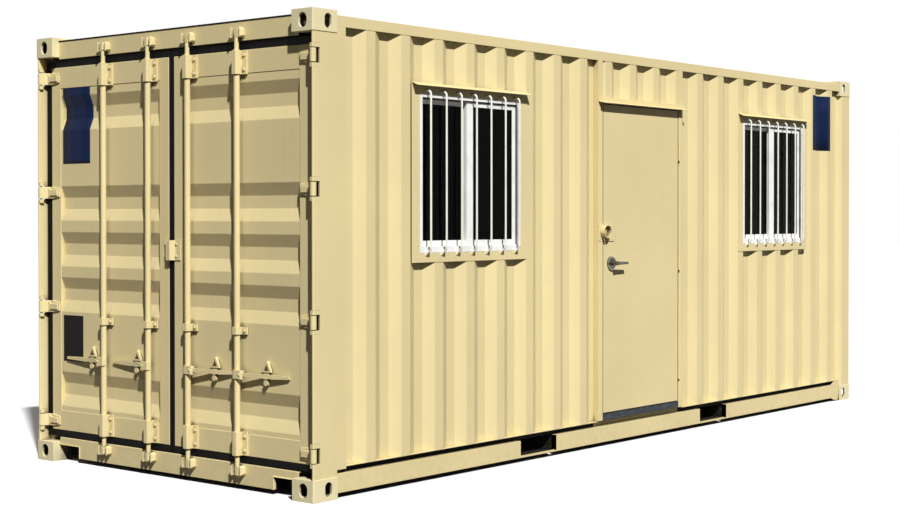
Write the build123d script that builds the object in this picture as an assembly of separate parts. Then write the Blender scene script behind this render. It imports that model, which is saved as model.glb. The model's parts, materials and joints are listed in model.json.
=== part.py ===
from build123d import *
import math
import os

# A 20 ft steel shipping container turned into a cabin: cargo doors at the -X end, an entry door and two
# barred sliding windows in the -Y side. Millimetres, +Z up, origin at the bottom centre of the box.

# ---------------------------------------------------------------- driving dimensions
LENGTH = 6058.0                  # outside of the corner castings
WIDTH = 2438.0
HEIGHT = 2591.0
SHEET = 2.0                      # pressed wall and roof sheet
RUNNING = 0.05                   # radial clearance of a pin in its bore
SEAT = 0.3                       # clearance of a part that turns against its seat

# corner castings
CASTING_X = 178.0
CASTING_Y = 162.0
CASTING_Z = 118.0
CASTING_WALL = 16.0
CASTING_FACE = 28.0              # thickness of the slotted top or bottom face
CASTING_EDGE = 8.0               # rounding of the outer corner
SLOT_LENGTH = 124.0
SLOT_WIDTH = 63.5
SLOT_END_INSET = 102.5           # slot centre from the end face
SLOT_SIDE_INSET = 89.5
APERTURE_HEIGHT = 79.0
END_APERTURE_WIDTH = 63.5
END_APERTURE_INSET = 79.0        # from the side face
SIDE_APERTURE_WIDTH = 51.0
SIDE_APERTURE_INSET = 111.0      # from the end face
APERTURE_DROP = 60.0             # aperture centre from the slotted face

# posts
POST_INSET = 4.0                 # post faces behind the casting faces
POST_PLATE = 14.0                # outer plate beside the cargo doors
POST_WALL = 6.0
POST_BOX_FRONT = 75.0            # front web behind the door end
POST_BOX_INNER = 62.0            # inner wall from the side plane
POST_REAR = 246.0                # where the side panel starts
POST_LAP = 20.0                  # flange that the side panel laps
STOP_FRONT = 118.0               # door stop behind the leaf
STOP_REACH = 110.0
STOP_WALL = 6.0
BLIND_POST_FACE = 134.0          # flat outer face of the blind-end post
BLIND_POST_X = 172.0
BLIND_POST_Y = 120.0

# side walls
PANEL_OUTER = 8.0                # outer flats from the side plane
CORRUGATION = 36.0               # depth of the pressing
FLAT_OUT = 72.0
FLAT_IN = 70.0
SLOPE = 68.0
FIRST_CREST = 718.0              # centre of one outer flat from the door end
PANEL_STOP = 179.0               # sheet end from the blind end
PANEL_BOTTOM = 170.0
FOOT_T = 4.0                     # bar that closes the bends at a wall's foot

# rails
RAIL_BOTTOM = 30.0
RAIL_STEP = 134.0                # top of the proud lower face
RAIL_FACE = 6.0
RAIL_WALL = 4.5
RAIL_UPSTAND = 215.0
ROOF_DROP = 24.0                 # top rails below the castings' top
TOP_RAIL_SIZE = 60.0
TOP_RAIL_WALL = 4.0
RAIL_FACE_STOP = 306.0           # proud face stops short of the blind end
GUSSET_FACE = 10.0
GUSSET_T = 6.0
GUSSET_HANG = (22.0, 24.0)

# cargo door end
HEADER_FACE = 50.0
HEADER_DROP = 131.0              # underside below the castings' top
HEADER_DEPTH = 100.0
HEADER_WALL = 4.0
SILL_BOTTOM = 28.0
SILL_TOP = 144.0
RECESS_INSET = 357.0             # inner side of the boxed recess in the sill, from the side plane
RECESS_LIP = 6.0
RECESS_TOP = 98.0
RECESS_BACK = 130.0
RECESS_WALL = 5.0

# blind end
END_OUTER = 10.0
END_DEPTH = 45.0
END_FLAT_OUT = 110.0
END_FLAT_IN = 104.0
END_SLOPE = 18.0
END_SILL_TOP = 150.0
END_SILL_DEPTH = 60.0

# floor and underframe
FLOOR_TOP = 172.0
FLOOR_T = 28.0
MEMBER_WIDTH = 45.0
MEMBER_WALL = 4.0
MEMBER_PITCH = 300.0
POCKET_WIDTH = 360.0
POCKET_CENTRES = (-1107.0, 928.0)
POCKET_WALL = 5.0
POCKET_TOP = 140.0
STRAP_WIDTH = 200.0

# roof
RIB_PITCH = 209.0
RIB_WIDTH = 120.0
RIB_HEIGHT = 14.0
RIB_TAPER = 60.0                 # degrees from vertical
RIB_END = 95.0                   # rib end from the side plane

# windows
WINDOW_INSETS = (1282.0, 1243.0)  # from the door end; from the blind end
WINDOW_DROP = 397.0              # window top below the castings' top
WINDOW_SIZE = 900.0
WINDOW_FIT = 0.3                 # gap between frame and sleeve
SLEEVE_T = 3.0
SLEEVE_DEPTH = 80.0
FLANGE_SIDE = 67.0
FLANGE_BELOW = 54.0
FLANGE_ABOVE = 60.0
HOOD_REACH = 45.0
HOOD_FALL = 18.0
WALL_FIT = 3.0                   # gap between sleeve and wall opening
FRAME_FACE = 22.0
FRAME_SILL = 35.0
FRAME_FRONT = 4.0
FRAME_DEPTH = 70.0
SASH_T = 22.0
SASH_OUTER = 18.0                # outer track from the side plane
SASH_INNER = 44.0
SASH_STILE = 38.0
SASH_MEETING = 58.0
SASH_RAIL = 33.0
GLASS_T = 6.0

# entry door
ENTRY_LEFT = -437.0              # faces of the posts beside the slab
ENTRY_RIGHT = 464.0
ENTRY_POST = 50.0
ENTRY_POST_DEPTH = 76.0
ENTRY_POST_WALL = 3.0
ENTRY_GAP = 8.0
ENTRY_HEAD_GAP = 5.0
ENTRY_DROP = 364.0               # slab top below the castings' top
ENTRY_HEAD = 40.0
SLAB_BOTTOM = 220.0
SLAB_FACE = 6.0
SLAB_T = 45.0
STOP_STRIP = 16.0
THRESHOLD_TOP = 214.0
THRESHOLD_DEPTH = 100.0
THRESHOLD_NOSE = 8.0
THRESHOLD_BACK = (20.0, 12.0)
DRIP_RIGHT = 540.0
DRIP_REACH = 45.0
DRIP_FALL = 10.0
DRIP_FLANGE = 30.0
HINGE_AXIS_X = 460.0
HINGE_AXIS_OUT = 3.0             # proud of the side plane
HINGE_BARREL_R = 7.0
HINGE_PIN_R = 4.0
HINGE_HEIGHT = 130.0
HINGE_PLATE = 3.0
HINGE_PLATE_DEPTH = 40.0
HINGE_LOW_RISE = 216.0           # lowest hinge above the slab's foot
HINGE_TOP_DROP = 280.0           # highest hinge below the slab's top
KNUCKLES = 3

# lever and hasp
LEVER_X = -345.0
LEVER_Z = 1193.0
ROSE_R = 44.0
ROSE_T = 12.0
LEVER_HUB_R = 14.0
LEVER_REACH = 62.0               # stands off the slab face
LEVER_LENGTH = 115.0
LEVER_HEIGHT = 22.0
LEVER_TIP = 15.4
LEVER_T = 13.0
SPINDLE_R = 8.0
SPINDLE_HOLE_R = 12.0
HASP_X = -431.0
HASP_Z = 1393.0
HASP_R = 55.0
HASP_WALL = 4.0
HASP_REACH = 36.0
HASP_HEIGHT = 112.0
HASP_LEFT = -487.0
HASP_RIGHT = -312.0
HASP_GAP = 6.0
HASP_PLATE = 3.0

# cargo leaves
LEAF_FACE = 60.0
LEAF_T = 50.0
LEAF_BOTTOM = 188.0
LEAF_DROP = 180.0                # leaf top below the castings' top
LEAF_INSET = 74.0                # leaf edge from the side plane
LEAF_INNER = 23.0
STILE_OUTER = 89.0
STILE_INNER = 86.0
LEAF_BOTTOM_RAIL = 122.0
LEAF_TOP_RAIL = 129.0
LEAF_WALL = 4.0
LEAF_PANEL_FACE = 63.0
TROUGH_RISES = (255.0, 834.0, 1111.0, 1391.0)  # lower troughs above the leaf's foot
TROUGH_TOP_DROP = 282.0          # top trough below the leaf's top
TROUGH_FLAT = 70.0
TROUGH_SLOPE = 70.0
TROUGH_DEPTH = 36.0
GASKET_FACE = 62.0
GASKET_T = 8.0
GASKET_CLEAR = 5.0
GASKET_SIDE = 3.0                # further clearance beside the posts
GASKET_GAP = 3.5                 # half of the gap between the meeting seals

# cargo door hinges
PIN_INSET = 18.0                 # from the door end and from the side plane
PIN_R = 8.0
KNUCKLE_R = 17.0
BLADE_HEIGHT = 72.0
BLADE_TIP_HEIGHT = 50.0
BLADE_T = 9.0
BLADE_RIB_T = 7.0
BLADE_RIB_HEIGHT = 34.0
BLADE_RIB_STOP = 12.0            # rib ends short of the blade tip
BLADE_REACH = 154.0              # blade tip from the side plane
NOTCH_HEIGHT = 82.0
NOTCH_DEPTH = 54.0
LUG_HEIGHT = 22.0
LUG_REACH = 15.0                 # lug round the pin axis
LUG_CHAMFER = 5.0
CARGO_HINGE_COUNT = 4
CARGO_HINGE_RISE = 57.0          # lowest hinge above the leaf's foot
CARGO_HINGE_DROP = 66.0          # highest hinge below the leaf's top

# lock rods
ROD_R = 17.0
ROD_DEPTH = 30.0                 # rod axis from the door end
ROD_EDGE = 553.0                 # outer rod from the leaf's outer edge
ROD_INNER = 176.0                # inner rod from the middle plane
ROD_SHOULDER = 7.0               # full thickness past a bracket
NECK_R = 13.0
BRACKET_HEIGHT = 130.0
BRACKET_EDGE = 4.0               # from the leaf's foot or top
MIDDLE_BRACKET = (855.0, 896.0)
BRACKET_WALL = 6.0
BRACKET_CORNER = 9.0             # chamfer of the saddle's front
BRACKET_FLANGE = 34.0
BRACKET_FLANGE_T = 12.0
CAM_HEIGHT = 50.0
TOP_CAM_RISE = 20.0              # above the header's underside
BOTTOM_CAM_DROP = 10.0           # below the sill's top
CAM_HEAD = 13.0
CAM_NOSE = 27.0
CAM_CORNER = 9.0
KEEPER_EAR = 15.0
KEEPER_INNER = 33.0
KEEPER_BASE = 4.0
KEEPER_FRONT = 14.0
KEEPER_MARGIN = 4.0
KEEPER_CORNER = 12.0
KEEPER_WAIST = 9.0
HANDLE_Z = 637.0
INNER_HANDLE_STOP = 61.0         # inner handle's tip from the outer rod
OUTER_HANDLE_STOP = 163.0        # outer handle's tip from the leaf's outer edge
HANDLE_T = 12.0
HANDLE_WAIST = 20.0
HANDLE_BOSS = 30.0               # height where the catch holds the handle
HANDLE_BOSS_HALF = 26.0
HANDLE_GRIP = 26.0
HANDLE_TIP = 15.0
HANDLE_BEND = 15.0               # grip's tip bent towards the panel
HUB_HEIGHT = 46.0
HUB_BACK = 20.0
HUB_LENGTH = 54.0
HUB_FRONT = 22.0
HUB_CHAMFER = 8.0
LEFT_CATCHES = (135.0, 124.0)    # catches from the outer and from the inner rod
RIGHT_CATCHES = (218.0, 212.0)
CATCH_WIDTH = 46.0
CATCH_BOTTOM = 584.0
CATCH_TOP = 718.0
CATCH_T = 6.0
CATCH_NECK = 20.0
KNOB_R = 15.0
KNOB_CORNER = 8.0
LOOP_WIDTH = 72.0                # sealing loop at its foot
LOOP_TIP = 26.0
LOOP_BAR = 8.0
LOOP_T = 14.0
HANDLE_CLEAR = 6.0

# small plates on the leaves
COVER_BOTTOM = 1250.0
COVER_TOP = 1364.0
COVER_LEFT = 60.0
COVER_RIGHT = 80.0
COVER_GAP = 3.0
COVER_T = 5.0
COVER_REACH = 30.0
PLATE_INSETS = (113.0, 307.0)    # from the leaf's outer edge
PLATE_Z = (616.0, 896.0)
PLATE_T = 1.5

HALF_L = LENGTH / 2
HALF_W = WIDTH / 2
END_X = -HALF_L                  # door end plane
FLOOR_BOTTOM = FLOOR_TOP - FLOOR_T
POST_TOP = HEIGHT - CASTING_Z
TOP_RAIL_TOP = HEIGHT - ROOF_DROP
TOP_RAIL_BOTTOM = TOP_RAIL_TOP - TOP_RAIL_SIZE
HEADER_BOTTOM = HEIGHT - HEADER_DROP
ENTRY_TOP = HEIGHT - ENTRY_DROP
WINDOW_TOP = HEIGHT - WINDOW_DROP
WINDOW_BOTTOM = WINDOW_TOP - WINDOW_SIZE
WINDOW_CENTRES = (END_X + WINDOW_INSETS[0], HALF_L - WINDOW_INSETS[1])
RECESS_INNER = HALF_W - RECESS_INSET
LEAF_TOP = HEIGHT - LEAF_DROP
LEAF_OUTER = HALF_W - LEAF_INSET
PANEL_INNER = PANEL_OUTER + CORRUGATION
LAP_FACE = PANEL_INNER + SHEET   # back of the inner flats
LEAF_BACK = LEAF_FACE + LEAF_T
SLAB_LEFT = ENTRY_LEFT + ENTRY_GAP
SLAB_RIGHT = ENTRY_RIGHT - ENTRY_GAP
ENTRY_HEAD_BOTTOM = ENTRY_TOP + ENTRY_HEAD_GAP
ENTRY_HEAD_TOP = ENTRY_HEAD_BOTTOM + ENTRY_HEAD
ENTRY_HINGE_LOW = SLAB_BOTTOM + HINGE_LOW_RISE
ENTRY_HINGE_TOP = ENTRY_TOP - HINGE_TOP_DROP
HINGE_CENTRES = (ENTRY_HINGE_LOW, (ENTRY_HINGE_LOW + ENTRY_HINGE_TOP) / 2, ENTRY_HINGE_TOP)
TROUGH_CENTRES = [LEAF_BOTTOM + rise for rise in TROUGH_RISES] + [LEAF_TOP - TROUGH_TOP_DROP]
FIRST_CARGO_HINGE = LEAF_BOTTOM + CARGO_HINGE_RISE
CARGO_HINGE_PITCH = (LEAF_TOP - CARGO_HINGE_DROP - FIRST_CARGO_HINGE) / (CARGO_HINGE_COUNT - 1)
CARGO_HINGES = [FIRST_CARGO_HINGE + k * CARGO_HINGE_PITCH for k in range(CARGO_HINGE_COUNT)]
ROD_OUTER = LEAF_OUTER - ROD_EDGE
TOP_BRACKET = (LEAF_TOP - BRACKET_EDGE - BRACKET_HEIGHT, LEAF_TOP - BRACKET_EDGE)
BOTTOM_BRACKET = (LEAF_BOTTOM + BRACKET_EDGE, LEAF_BOTTOM + BRACKET_EDGE + BRACKET_HEIGHT)
TOP_CAM = (HEADER_BOTTOM + TOP_CAM_RISE, HEADER_BOTTOM + TOP_CAM_RISE + CAM_HEIGHT)
BOTTOM_CAM = (SILL_TOP - BOTTOM_CAM_DROP - CAM_HEIGHT, SILL_TOP - BOTTOM_CAM_DROP)
INNER_HANDLE = ROD_OUTER - ROD_INNER - INNER_HANDLE_STOP
OUTER_HANDLE = LEAF_OUTER - ROD_OUTER - OUTER_HANDLE_STOP
NOTHING = 0.0


# ---------------------------------------------------------------- small helpers
def block(x0, x1, y0, y1, z0, z1):
    """A box between two corners."""
    return Pos((x0 + x1) / 2, (y0 + y1) / 2, (z0 + z1) / 2) * Box(abs(x1 - x0), abs(y1 - y0), abs(z1 - z0))


def upright(points, z0, z1):
    """A plan outline of (x, y) points raised from z0 to z1."""
    face = make_face(Polyline(*points, close=True))
    return Pos(0, 0, z0) * extrude(face, amount=z1 - z0, dir=(0, 0, 1))


def along_x(points, x0, x1):
    """A section of (y, z) points carried from x0 to x1."""
    outline = Polyline(*[(x0, y, z) for y, z in points], close=True)
    return extrude(make_face(outline), amount=x1 - x0, dir=(1, 0, 0))


def along_y(points, y0, y1):
    """A section of (x, z) points carried from y0 to y1."""
    outline = Polyline(*[(x, y0, z) for x, z in points], close=True)
    return extrude(make_face(outline), amount=y1 - y0, dir=(0, 1, 0))


def rod(x, y, z0, z1, radius):
    """A vertical round bar."""
    return Pos(x, y, (z0 + z1) / 2) * Cylinder(radius, z1 - z0)


def stub(x, z, y0, y1, radius):
    """A round bar along Y."""
    return Pos(x, (y0 + y1) / 2, z) * Rot(90, 0, 0) * Cylinder(radius, abs(y1 - y0))


def side_y(inset):
    """Y of a plane that lies inset from the -Y side plane."""
    return inset - HALF_W


def end_x(depth):
    """X of a plane that lies depth behind the door end."""
    return END_X + depth


def across(shape):
    """The mirror image on the +Y side."""
    return mirror(shape, about=Plane.XZ)


def both_sides(shape):
    return [shape, across(shape)]


def write(name, shapes):
    """Writes the solids of one node."""
    solids = []
    for shape in shapes:
        solids.extend(shape.solids())
    body = solids[0] if len(solids) == 1 else Compound(children=solids)
    export_step(body, os.path.join("parts", name + ".step"))


# ---------------------------------------------------------------- corner castings
def corner_casting():
    """The door-end casting of the -Y side at the top: hollow, with a hole in each outer face."""
    x0 = END_X
    y0 = -HALF_W
    z0 = HEIGHT - CASTING_Z
    body = block(x0, x0 + CASTING_X, y0, y0 + CASTING_Y, z0, HEIGHT)
    corner = body.edges().filter_by(Axis.Z).sort_by(lambda e: e.center().X + e.center().Y)[0]
    body = fillet(corner, CASTING_EDGE)
    hollow = block(x0 + CASTING_WALL, x0 + CASTING_X - CASTING_WALL, y0 + CASTING_WALL,
                   y0 + CASTING_Y - CASTING_WALL, z0 + CASTING_WALL, HEIGHT - CASTING_FACE)
    slot = Pos(x0 + SLOT_END_INSET, y0 + SLOT_SIDE_INSET, HEIGHT - CASTING_FACE) * extrude(
        SlotOverall(SLOT_LENGTH, SLOT_WIDTH), amount=2 * CASTING_FACE)
    drop = HEIGHT - APERTURE_DROP
    end_hole = Pos(x0 - CASTING_WALL, y0 + END_APERTURE_INSET, drop) * Rot(0, 90, 0) * extrude(
        SlotOverall(APERTURE_HEIGHT, END_APERTURE_WIDTH), amount=3 * CASTING_WALL)
    side_turn = Rot(-90, 0, 0) * Rot(0, 0, 90)
    side_hole = Pos(x0 + SIDE_APERTURE_INSET, y0 - CASTING_WALL, drop) * side_turn * extrude(
        SlotOverall(APERTURE_HEIGHT, SIDE_APERTURE_WIDTH), amount=3 * CASTING_WALL)
    return body - hollow - slot - end_hole - side_hole


def four_castings(first):
    other_end = mirror(first, about=Plane.YZ)
    return both_sides(first) + both_sides(other_end)


def castings():
    top = corner_casting()
    middle = Plane((0, 0, HEIGHT / 2), z_dir=(0, 0, 1))
    bottom = mirror(top, about=middle)
    write("top_corner_castings", four_castings(top))
    write("bottom_corner_castings", four_castings(bottom))


# ---------------------------------------------------------------- posts
def door_end_post():
    """J-shaped corner post: a long outer plate, a closed box behind the seal and a stop for the leaf."""
    x = end_x
    y = side_y
    plate_in = POST_INSET + POST_PLATE
    wall = POST_WALL
    body = block(x(POST_INSET), x(CASTING_X), y(POST_INSET), y(plate_in), CASTING_Z, POST_TOP)
    nose = body.edges().filter_by(Axis.Z).sort_by(Axis.X)[:2]
    body = fillet(nose, POST_PLATE / 2 - 1)
    box = block(x(POST_BOX_FRONT), x(CASTING_X), y(POST_INSET), y(POST_BOX_INNER), CASTING_Z, POST_TOP)
    hollow = block(x(POST_BOX_FRONT + wall), x(CASTING_X - wall), y(plate_in), y(POST_BOX_INNER - wall),
                   CASTING_Z, POST_TOP)
    stop = block(x(STOP_FRONT), x(STOP_FRONT + STOP_WALL), y(POST_BOX_INNER), y(STOP_REACH), LEAF_BOTTOM,
                 LEAF_TOP)
    low = PANEL_BOTTOM - PANEL_OUTER * 2
    flange = block(x(CASTING_X), x(POST_REAR), y(POST_INSET), y(POST_INSET + wall), low, TOP_RAIL_BOTTOM)
    web = block(x(POST_REAR - wall), x(POST_REAR), y(POST_INSET), y(LAP_FACE + wall), low, TOP_RAIL_BOTTOM)
    lap = block(x(POST_REAR), x(POST_REAR + POST_LAP), y(LAP_FACE), y(LAP_FACE + wall), RAIL_UPSTAND,
                TOP_RAIL_BOTTOM)
    post = body + box - hollow + stop + flange + web + lap
    post -= block(x(POST_REAR - wall), x(POST_REAR), y(LAP_FACE), y(LAP_FACE + wall), low, RAIL_UPSTAND)
    half = NOTCH_HEIGHT / 2 + LUG_HEIGHT
    for z in CARGO_HINGES:
        post -= block(x(0), x(NOTCH_DEPTH), y(0), y(plate_in), z - half, z + half)
    return post


def blind_end_post():
    """Pressed corner post with a sloping bend that meets the side panel."""
    def point(from_end, inset):
        return (HALF_L - from_end, side_y(inset))
    t = POST_WALL
    inset = POST_INSET
    end = BLIND_POST_X
    deep = LAP_FACE
    outline = [point(inset, inset), point(BLIND_POST_FACE, inset), point(end, deep),
               point(end + POST_LAP, deep), point(end + POST_LAP, deep + t), point(end - t, deep + t),
               point(BLIND_POST_FACE - t, inset + t),
               point(inset + t, inset + t), point(inset + t, BLIND_POST_Y), point(inset, BLIND_POST_Y)]
    post = upright(outline, CASTING_Z, POST_TOP)
    x = HALF_L - end
    return post - block(x - POST_LAP, x, side_y(deep), side_y(deep + t), CASTING_Z, RAIL_UPSTAND)


def posts():
    write("door_end_posts", both_sides(door_end_post()))
    write("blind_end_posts", both_sides(blind_end_post()))


# ---------------------------------------------------------------- end frames
def door_header():
    """Hollow header above the cargo doors, with the plate that closes the roof between the castings."""
    half = HALF_W - CASTING_Y
    back = HEADER_FACE + HEADER_DEPTH
    outer = block(end_x(HEADER_FACE), end_x(back), -half, half, HEADER_BOTTOM, TOP_RAIL_TOP)
    w = HEADER_WALL
    inner = block(end_x(HEADER_FACE + w), end_x(back - w), -half, half, HEADER_BOTTOM + w, TOP_RAIL_TOP - w)
    plate = block(end_x(HEADER_FACE), end_x(CASTING_X), -half, half, TOP_RAIL_TOP - w, TOP_RAIL_TOP + SHEET)
    return outer - inner + plate


def door_sill():
    """Hollow sill with a lined notch beside each bottom casting, open below and behind."""
    half = HALF_W - CASTING_Y
    back = HEADER_FACE + HEADER_DEPTH
    w = RECESS_WALL
    outer = block(end_x(HEADER_FACE), end_x(back), -half, half, SILL_BOTTOM, SILL_TOP)
    inner = block(end_x(HEADER_FACE + w), end_x(back - w), -half, half, SILL_BOTTOM + w, SILL_TOP - w)
    sill = outer - inner
    front = HEADER_FACE - RECESS_LIP
    lining = block(end_x(front), end_x(RECESS_BACK + w), -half, -RECESS_INNER + w, SILL_BOTTOM,
                   RECESS_TOP + w)
    recess = block(end_x(front), end_x(RECESS_BACK + w), -half, -RECESS_INNER, SILL_BOTTOM, RECESS_TOP)
    sill = sill + lining + across(lining)
    return sill - recess - across(recess)


def end_frames():
    half = HALF_W - CASTING_Y
    write("door_header", [door_header()])
    write("door_sill", [door_sill()])
    t = TOP_RAIL_WALL
    x1 = HALF_L - END_OUTER
    x0 = x1 - END_SILL_DEPTH
    head = block(x0, x1, -half, half, POST_TOP, TOP_RAIL_TOP)
    head -= block(x0 + t, x1 - t, -half, half, POST_TOP + t, TOP_RAIL_TOP - t)
    head += block(HALF_L - CASTING_X, x1, -half, half, TOP_RAIL_TOP - t, TOP_RAIL_TOP + SHEET)
    sill = block(x0, x1, -half, half, RAIL_BOTTOM, END_SILL_TOP)
    sill -= block(x0 + t, x1 - t, -half, half, RAIL_BOTTOM + t, END_SILL_TOP - t)
    write("blind_end_rails", [head, sill])


# ---------------------------------------------------------------- rails
def top_side_rail():
    half = HALF_L - CASTING_X
    t = TOP_RAIL_WALL
    y0 = side_y(RAIL_FACE)
    y1 = y0 + TOP_RAIL_SIZE
    outer = block(-half, half, y0, y1, TOP_RAIL_BOTTOM, TOP_RAIL_TOP)
    return outer - block(-half, half, y0 + t, y1 - t, TOP_RAIL_BOTTOM + t, TOP_RAIL_TOP - t)


def bottom_side_rail():
    """Stepped pressed rail: a proud lower face, a ledge and an upstand that the wall sheet laps."""
    half = HALF_L - CASTING_X
    t = RAIL_WALL
    face = side_y(RAIL_FACE)
    back = side_y(LAP_FACE)
    section = [(face, RAIL_BOTTOM), (back + t, RAIL_BOTTOM), (back + t, RAIL_BOTTOM + t),
               (face + t, RAIL_BOTTOM + t),
               (face + t, RAIL_STEP - t), (back + t, RAIL_STEP - t), (back + t, RAIL_UPSTAND),
               (back, RAIL_UPSTAND), (back, RAIL_STEP), (face, RAIL_STEP)]
    rail = along_x(section, -half, half)
    for centre in POCKET_CENTRES:
        rail -= block(centre - POCKET_WIDTH / 2, centre + POCKET_WIDTH / 2, side_y(0), back + t,
                      RAIL_BOTTOM + t, POCKET_TOP)
    rail -= block(HALF_L - RAIL_FACE_STOP, half, side_y(0), side_y(GUSSET_FACE + GUSSET_T), NOTHING,
                  RAIL_STEP)
    return rail


def rail_end_gusset():
    """Plate that joins the rail's end to the blind-end casting."""
    y0 = side_y(GUSSET_FACE)
    y1 = y0 + GUSSET_T
    x0 = HALF_L - RAIL_FACE_STOP
    x1 = HALF_L - CASTING_X
    mid = (x0 + x1) / 2
    top = PANEL_BOTTOM - FOOT_T
    outline = [(x0, RAIL_BOTTOM), (mid, RAIL_BOTTOM - GUSSET_HANG[0]), (x1, RAIL_BOTTOM - GUSSET_HANG[1]),
               (x1, top), (mid, top), (x0, RAIL_STEP)]
    return along_y(outline, y0, y1)


def rails():
    rail = bottom_side_rail()
    doorway = block(ENTRY_LEFT - ENTRY_POST, ENTRY_RIGHT + ENTRY_POST, side_y(0),
                    side_y(LAP_FACE + RAIL_WALL),
                    FLOOR_TOP, RAIL_UPSTAND)
    write("top_side_rails", both_sides(top_side_rail()))
    write("bottom_side_rails", [rail - doorway, across(rail)])
    write("rail_end_gussets", both_sides(rail_end_gusset()))


# ---------------------------------------------------------------- corrugated sheets
def corrugation_points(start, stop, crest, flat_out, flat_in, slope, depth):
    """Bends of a trapezoid corrugation between start and stop, as (distance, depth below the crests)."""
    pitch = flat_out + flat_in + 2 * slope
    first = math.floor((start - crest) / pitch) - 1
    count = math.ceil((stop - start) / pitch) + 3
    bends = []
    for k in range(first, first + count):
        middle = crest + k * pitch
        half = flat_out / 2
        bends += [(middle - half - slope, depth), (middle - half, 0), (middle + half, 0),
                  (middle + half + slope, depth)]
    line = []
    for (a, da), (b, db) in zip(bends, bends[1:]):
        for edge in (start, stop):
            if a < edge < b:
                line.append((edge, da + (db - da) * (edge - a) / (b - a)))
        if start <= b <= stop:
            line.append((b, db))
    return sorted(set(line))


def side_sheet(x0, x1, z0, z1, inset=PANEL_OUTER):
    """Upright corrugated sheet of the -Y side."""
    line = corrugation_points(x0, x1, end_x(FIRST_CREST), FLAT_OUT, FLAT_IN, SLOPE, CORRUGATION)
    outer = [(x, side_y(inset + d)) for x, d in line]
    inner = [(x, side_y(inset + d + SHEET)) for x, d in reversed(line)]
    return upright(outer + inner, z0, z1)


def wall_foot(x0, x1):
    """Flat bar under a side sheet that closes its pressed bends."""
    return block(x0, x1, side_y(PANEL_OUTER), side_y(LAP_FACE), PANEL_BOTTOM - FOOT_T, PANEL_BOTTOM)


def window_opening(centre):
    gap = WINDOW_FIT + SLEEVE_T + WALL_FIT
    half = WINDOW_SIZE / 2 + gap
    return block(centre - half, centre + half, side_y(0), side_y(SLEEVE_DEPTH * 2), WINDOW_BOTTOM - gap,
                 WINDOW_TOP + gap)


def blind_end_sheet():
    """Corrugated blind-end wall between the corner posts."""
    half = HALF_W - BLIND_POST_Y
    line = corrugation_points(-half, half, NOTHING, END_FLAT_OUT, END_FLAT_IN, END_SLOPE, END_DEPTH)
    face = HALF_L - END_OUTER
    outer = [(face - d, y) for y, d in line]
    inner = [(face - d - SHEET, y) for y, d in reversed(line)]
    return upright(outer + inner, END_SILL_TOP, POST_TOP)


def walls():
    start = end_x(POST_REAR)
    stop = HALF_L - PANEL_STOP
    near = ENTRY_LEFT - ENTRY_POST
    far = ENTRY_RIGHT + ENTRY_POST
    left = side_sheet(start, near, PANEL_BOTTOM, TOP_RAIL_BOTTOM) + wall_foot(start, near)
    right = side_sheet(far, stop, PANEL_BOTTOM, TOP_RAIL_BOTTOM) + wall_foot(far, stop)
    over = side_sheet(ENTRY_LEFT, ENTRY_RIGHT, ENTRY_HEAD_TOP, TOP_RAIL_BOTTOM)
    write("cabin_wall_left", [left - window_opening(WINDOW_CENTRES[0])])
    write("cabin_wall_right", [right - window_opening(WINDOW_CENTRES[1])])
    write("cabin_wall_over_door", [over])
    plain = side_sheet(start, stop, PANEL_BOTTOM, TOP_RAIL_BOTTOM) + wall_foot(start, stop)
    write("plain_side_wall", [across(plain)])
    write("blind_end_wall", [blind_end_sheet()])


# ---------------------------------------------------------------- roof, floor and underframe
def roof_panel():
    """Flat sheet on the rails with a row of pressed ribs, each a tapered boss that is hollow below."""
    half = HALF_L - CASTING_X
    edge = side_y(RAIL_FACE + TOP_RAIL_SIZE / 2)
    sheet = block(-half, half, edge, -edge, TOP_RAIL_TOP, TOP_RAIL_TOP + SHEET)
    length = 2 * (HALF_W - RIB_END)
    boss = extrude(Rectangle(RIB_WIDTH, length), amount=RIB_HEIGHT, taper=RIB_TAPER)
    room = LENGTH - 2 * CASTING_X - RIB_WIDTH
    count = int(room / RIB_PITCH)
    places = [(k - count / 2) * RIB_PITCH for k in range(count + 1)]
    sheet += [Pos(x, 0, TOP_RAIL_TOP + SHEET) * boss for x in places]
    mouth = Rectangle(RIB_WIDTH - 2 * SHEET, length - 2 * SHEET)
    sheet -= [Pos(x, 0, TOP_RAIL_TOP) * extrude(mouth, amount=SHEET) for x in places]
    cavity = extrude(mouth, amount=RIB_HEIGHT - SHEET, taper=RIB_TAPER)
    sheet -= [Pos(x, 0, TOP_RAIL_TOP + SHEET) * cavity for x in places]
    return sheet


def floor_board():
    """Floor between the rails, notched round the door-end posts."""
    x0 = end_x(HEADER_FACE + HEADER_DEPTH)
    x1 = HALF_L - END_OUTER - END_SILL_DEPTH
    edge = side_y(LAP_FACE + RAIL_WALL)
    board = block(x0, x1, edge, -edge, FLOOR_BOTTOM, FLOOR_TOP)
    notch = block(x0, end_x(POST_REAR), edge, side_y(POST_BOX_INNER), FLOOR_BOTTOM, FLOOR_TOP)
    blind = block(HALF_L - BLIND_POST_X - POST_LAP, x1, edge, side_y(LAP_FACE + POST_WALL), FLOOR_BOTTOM,
                  FLOOR_TOP)
    return board - notch - across(notch) - blind - across(blind)


def cross_member(x):
    """C-shaped floor bearer."""
    edge = side_y(LAP_FACE + RAIL_WALL)
    t = MEMBER_WALL
    w = MEMBER_WIDTH
    z0 = RAIL_BOTTOM
    z1 = FLOOR_BOTTOM
    section = [(x, z0), (x + w, z0), (x + w, z0 + t), (x + t, z0 + t), (x + t, z1 - t), (x + w, z1 - t),
               (x + w, z1), (x, z1)]
    return along_y(section, edge, -edge)


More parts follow.
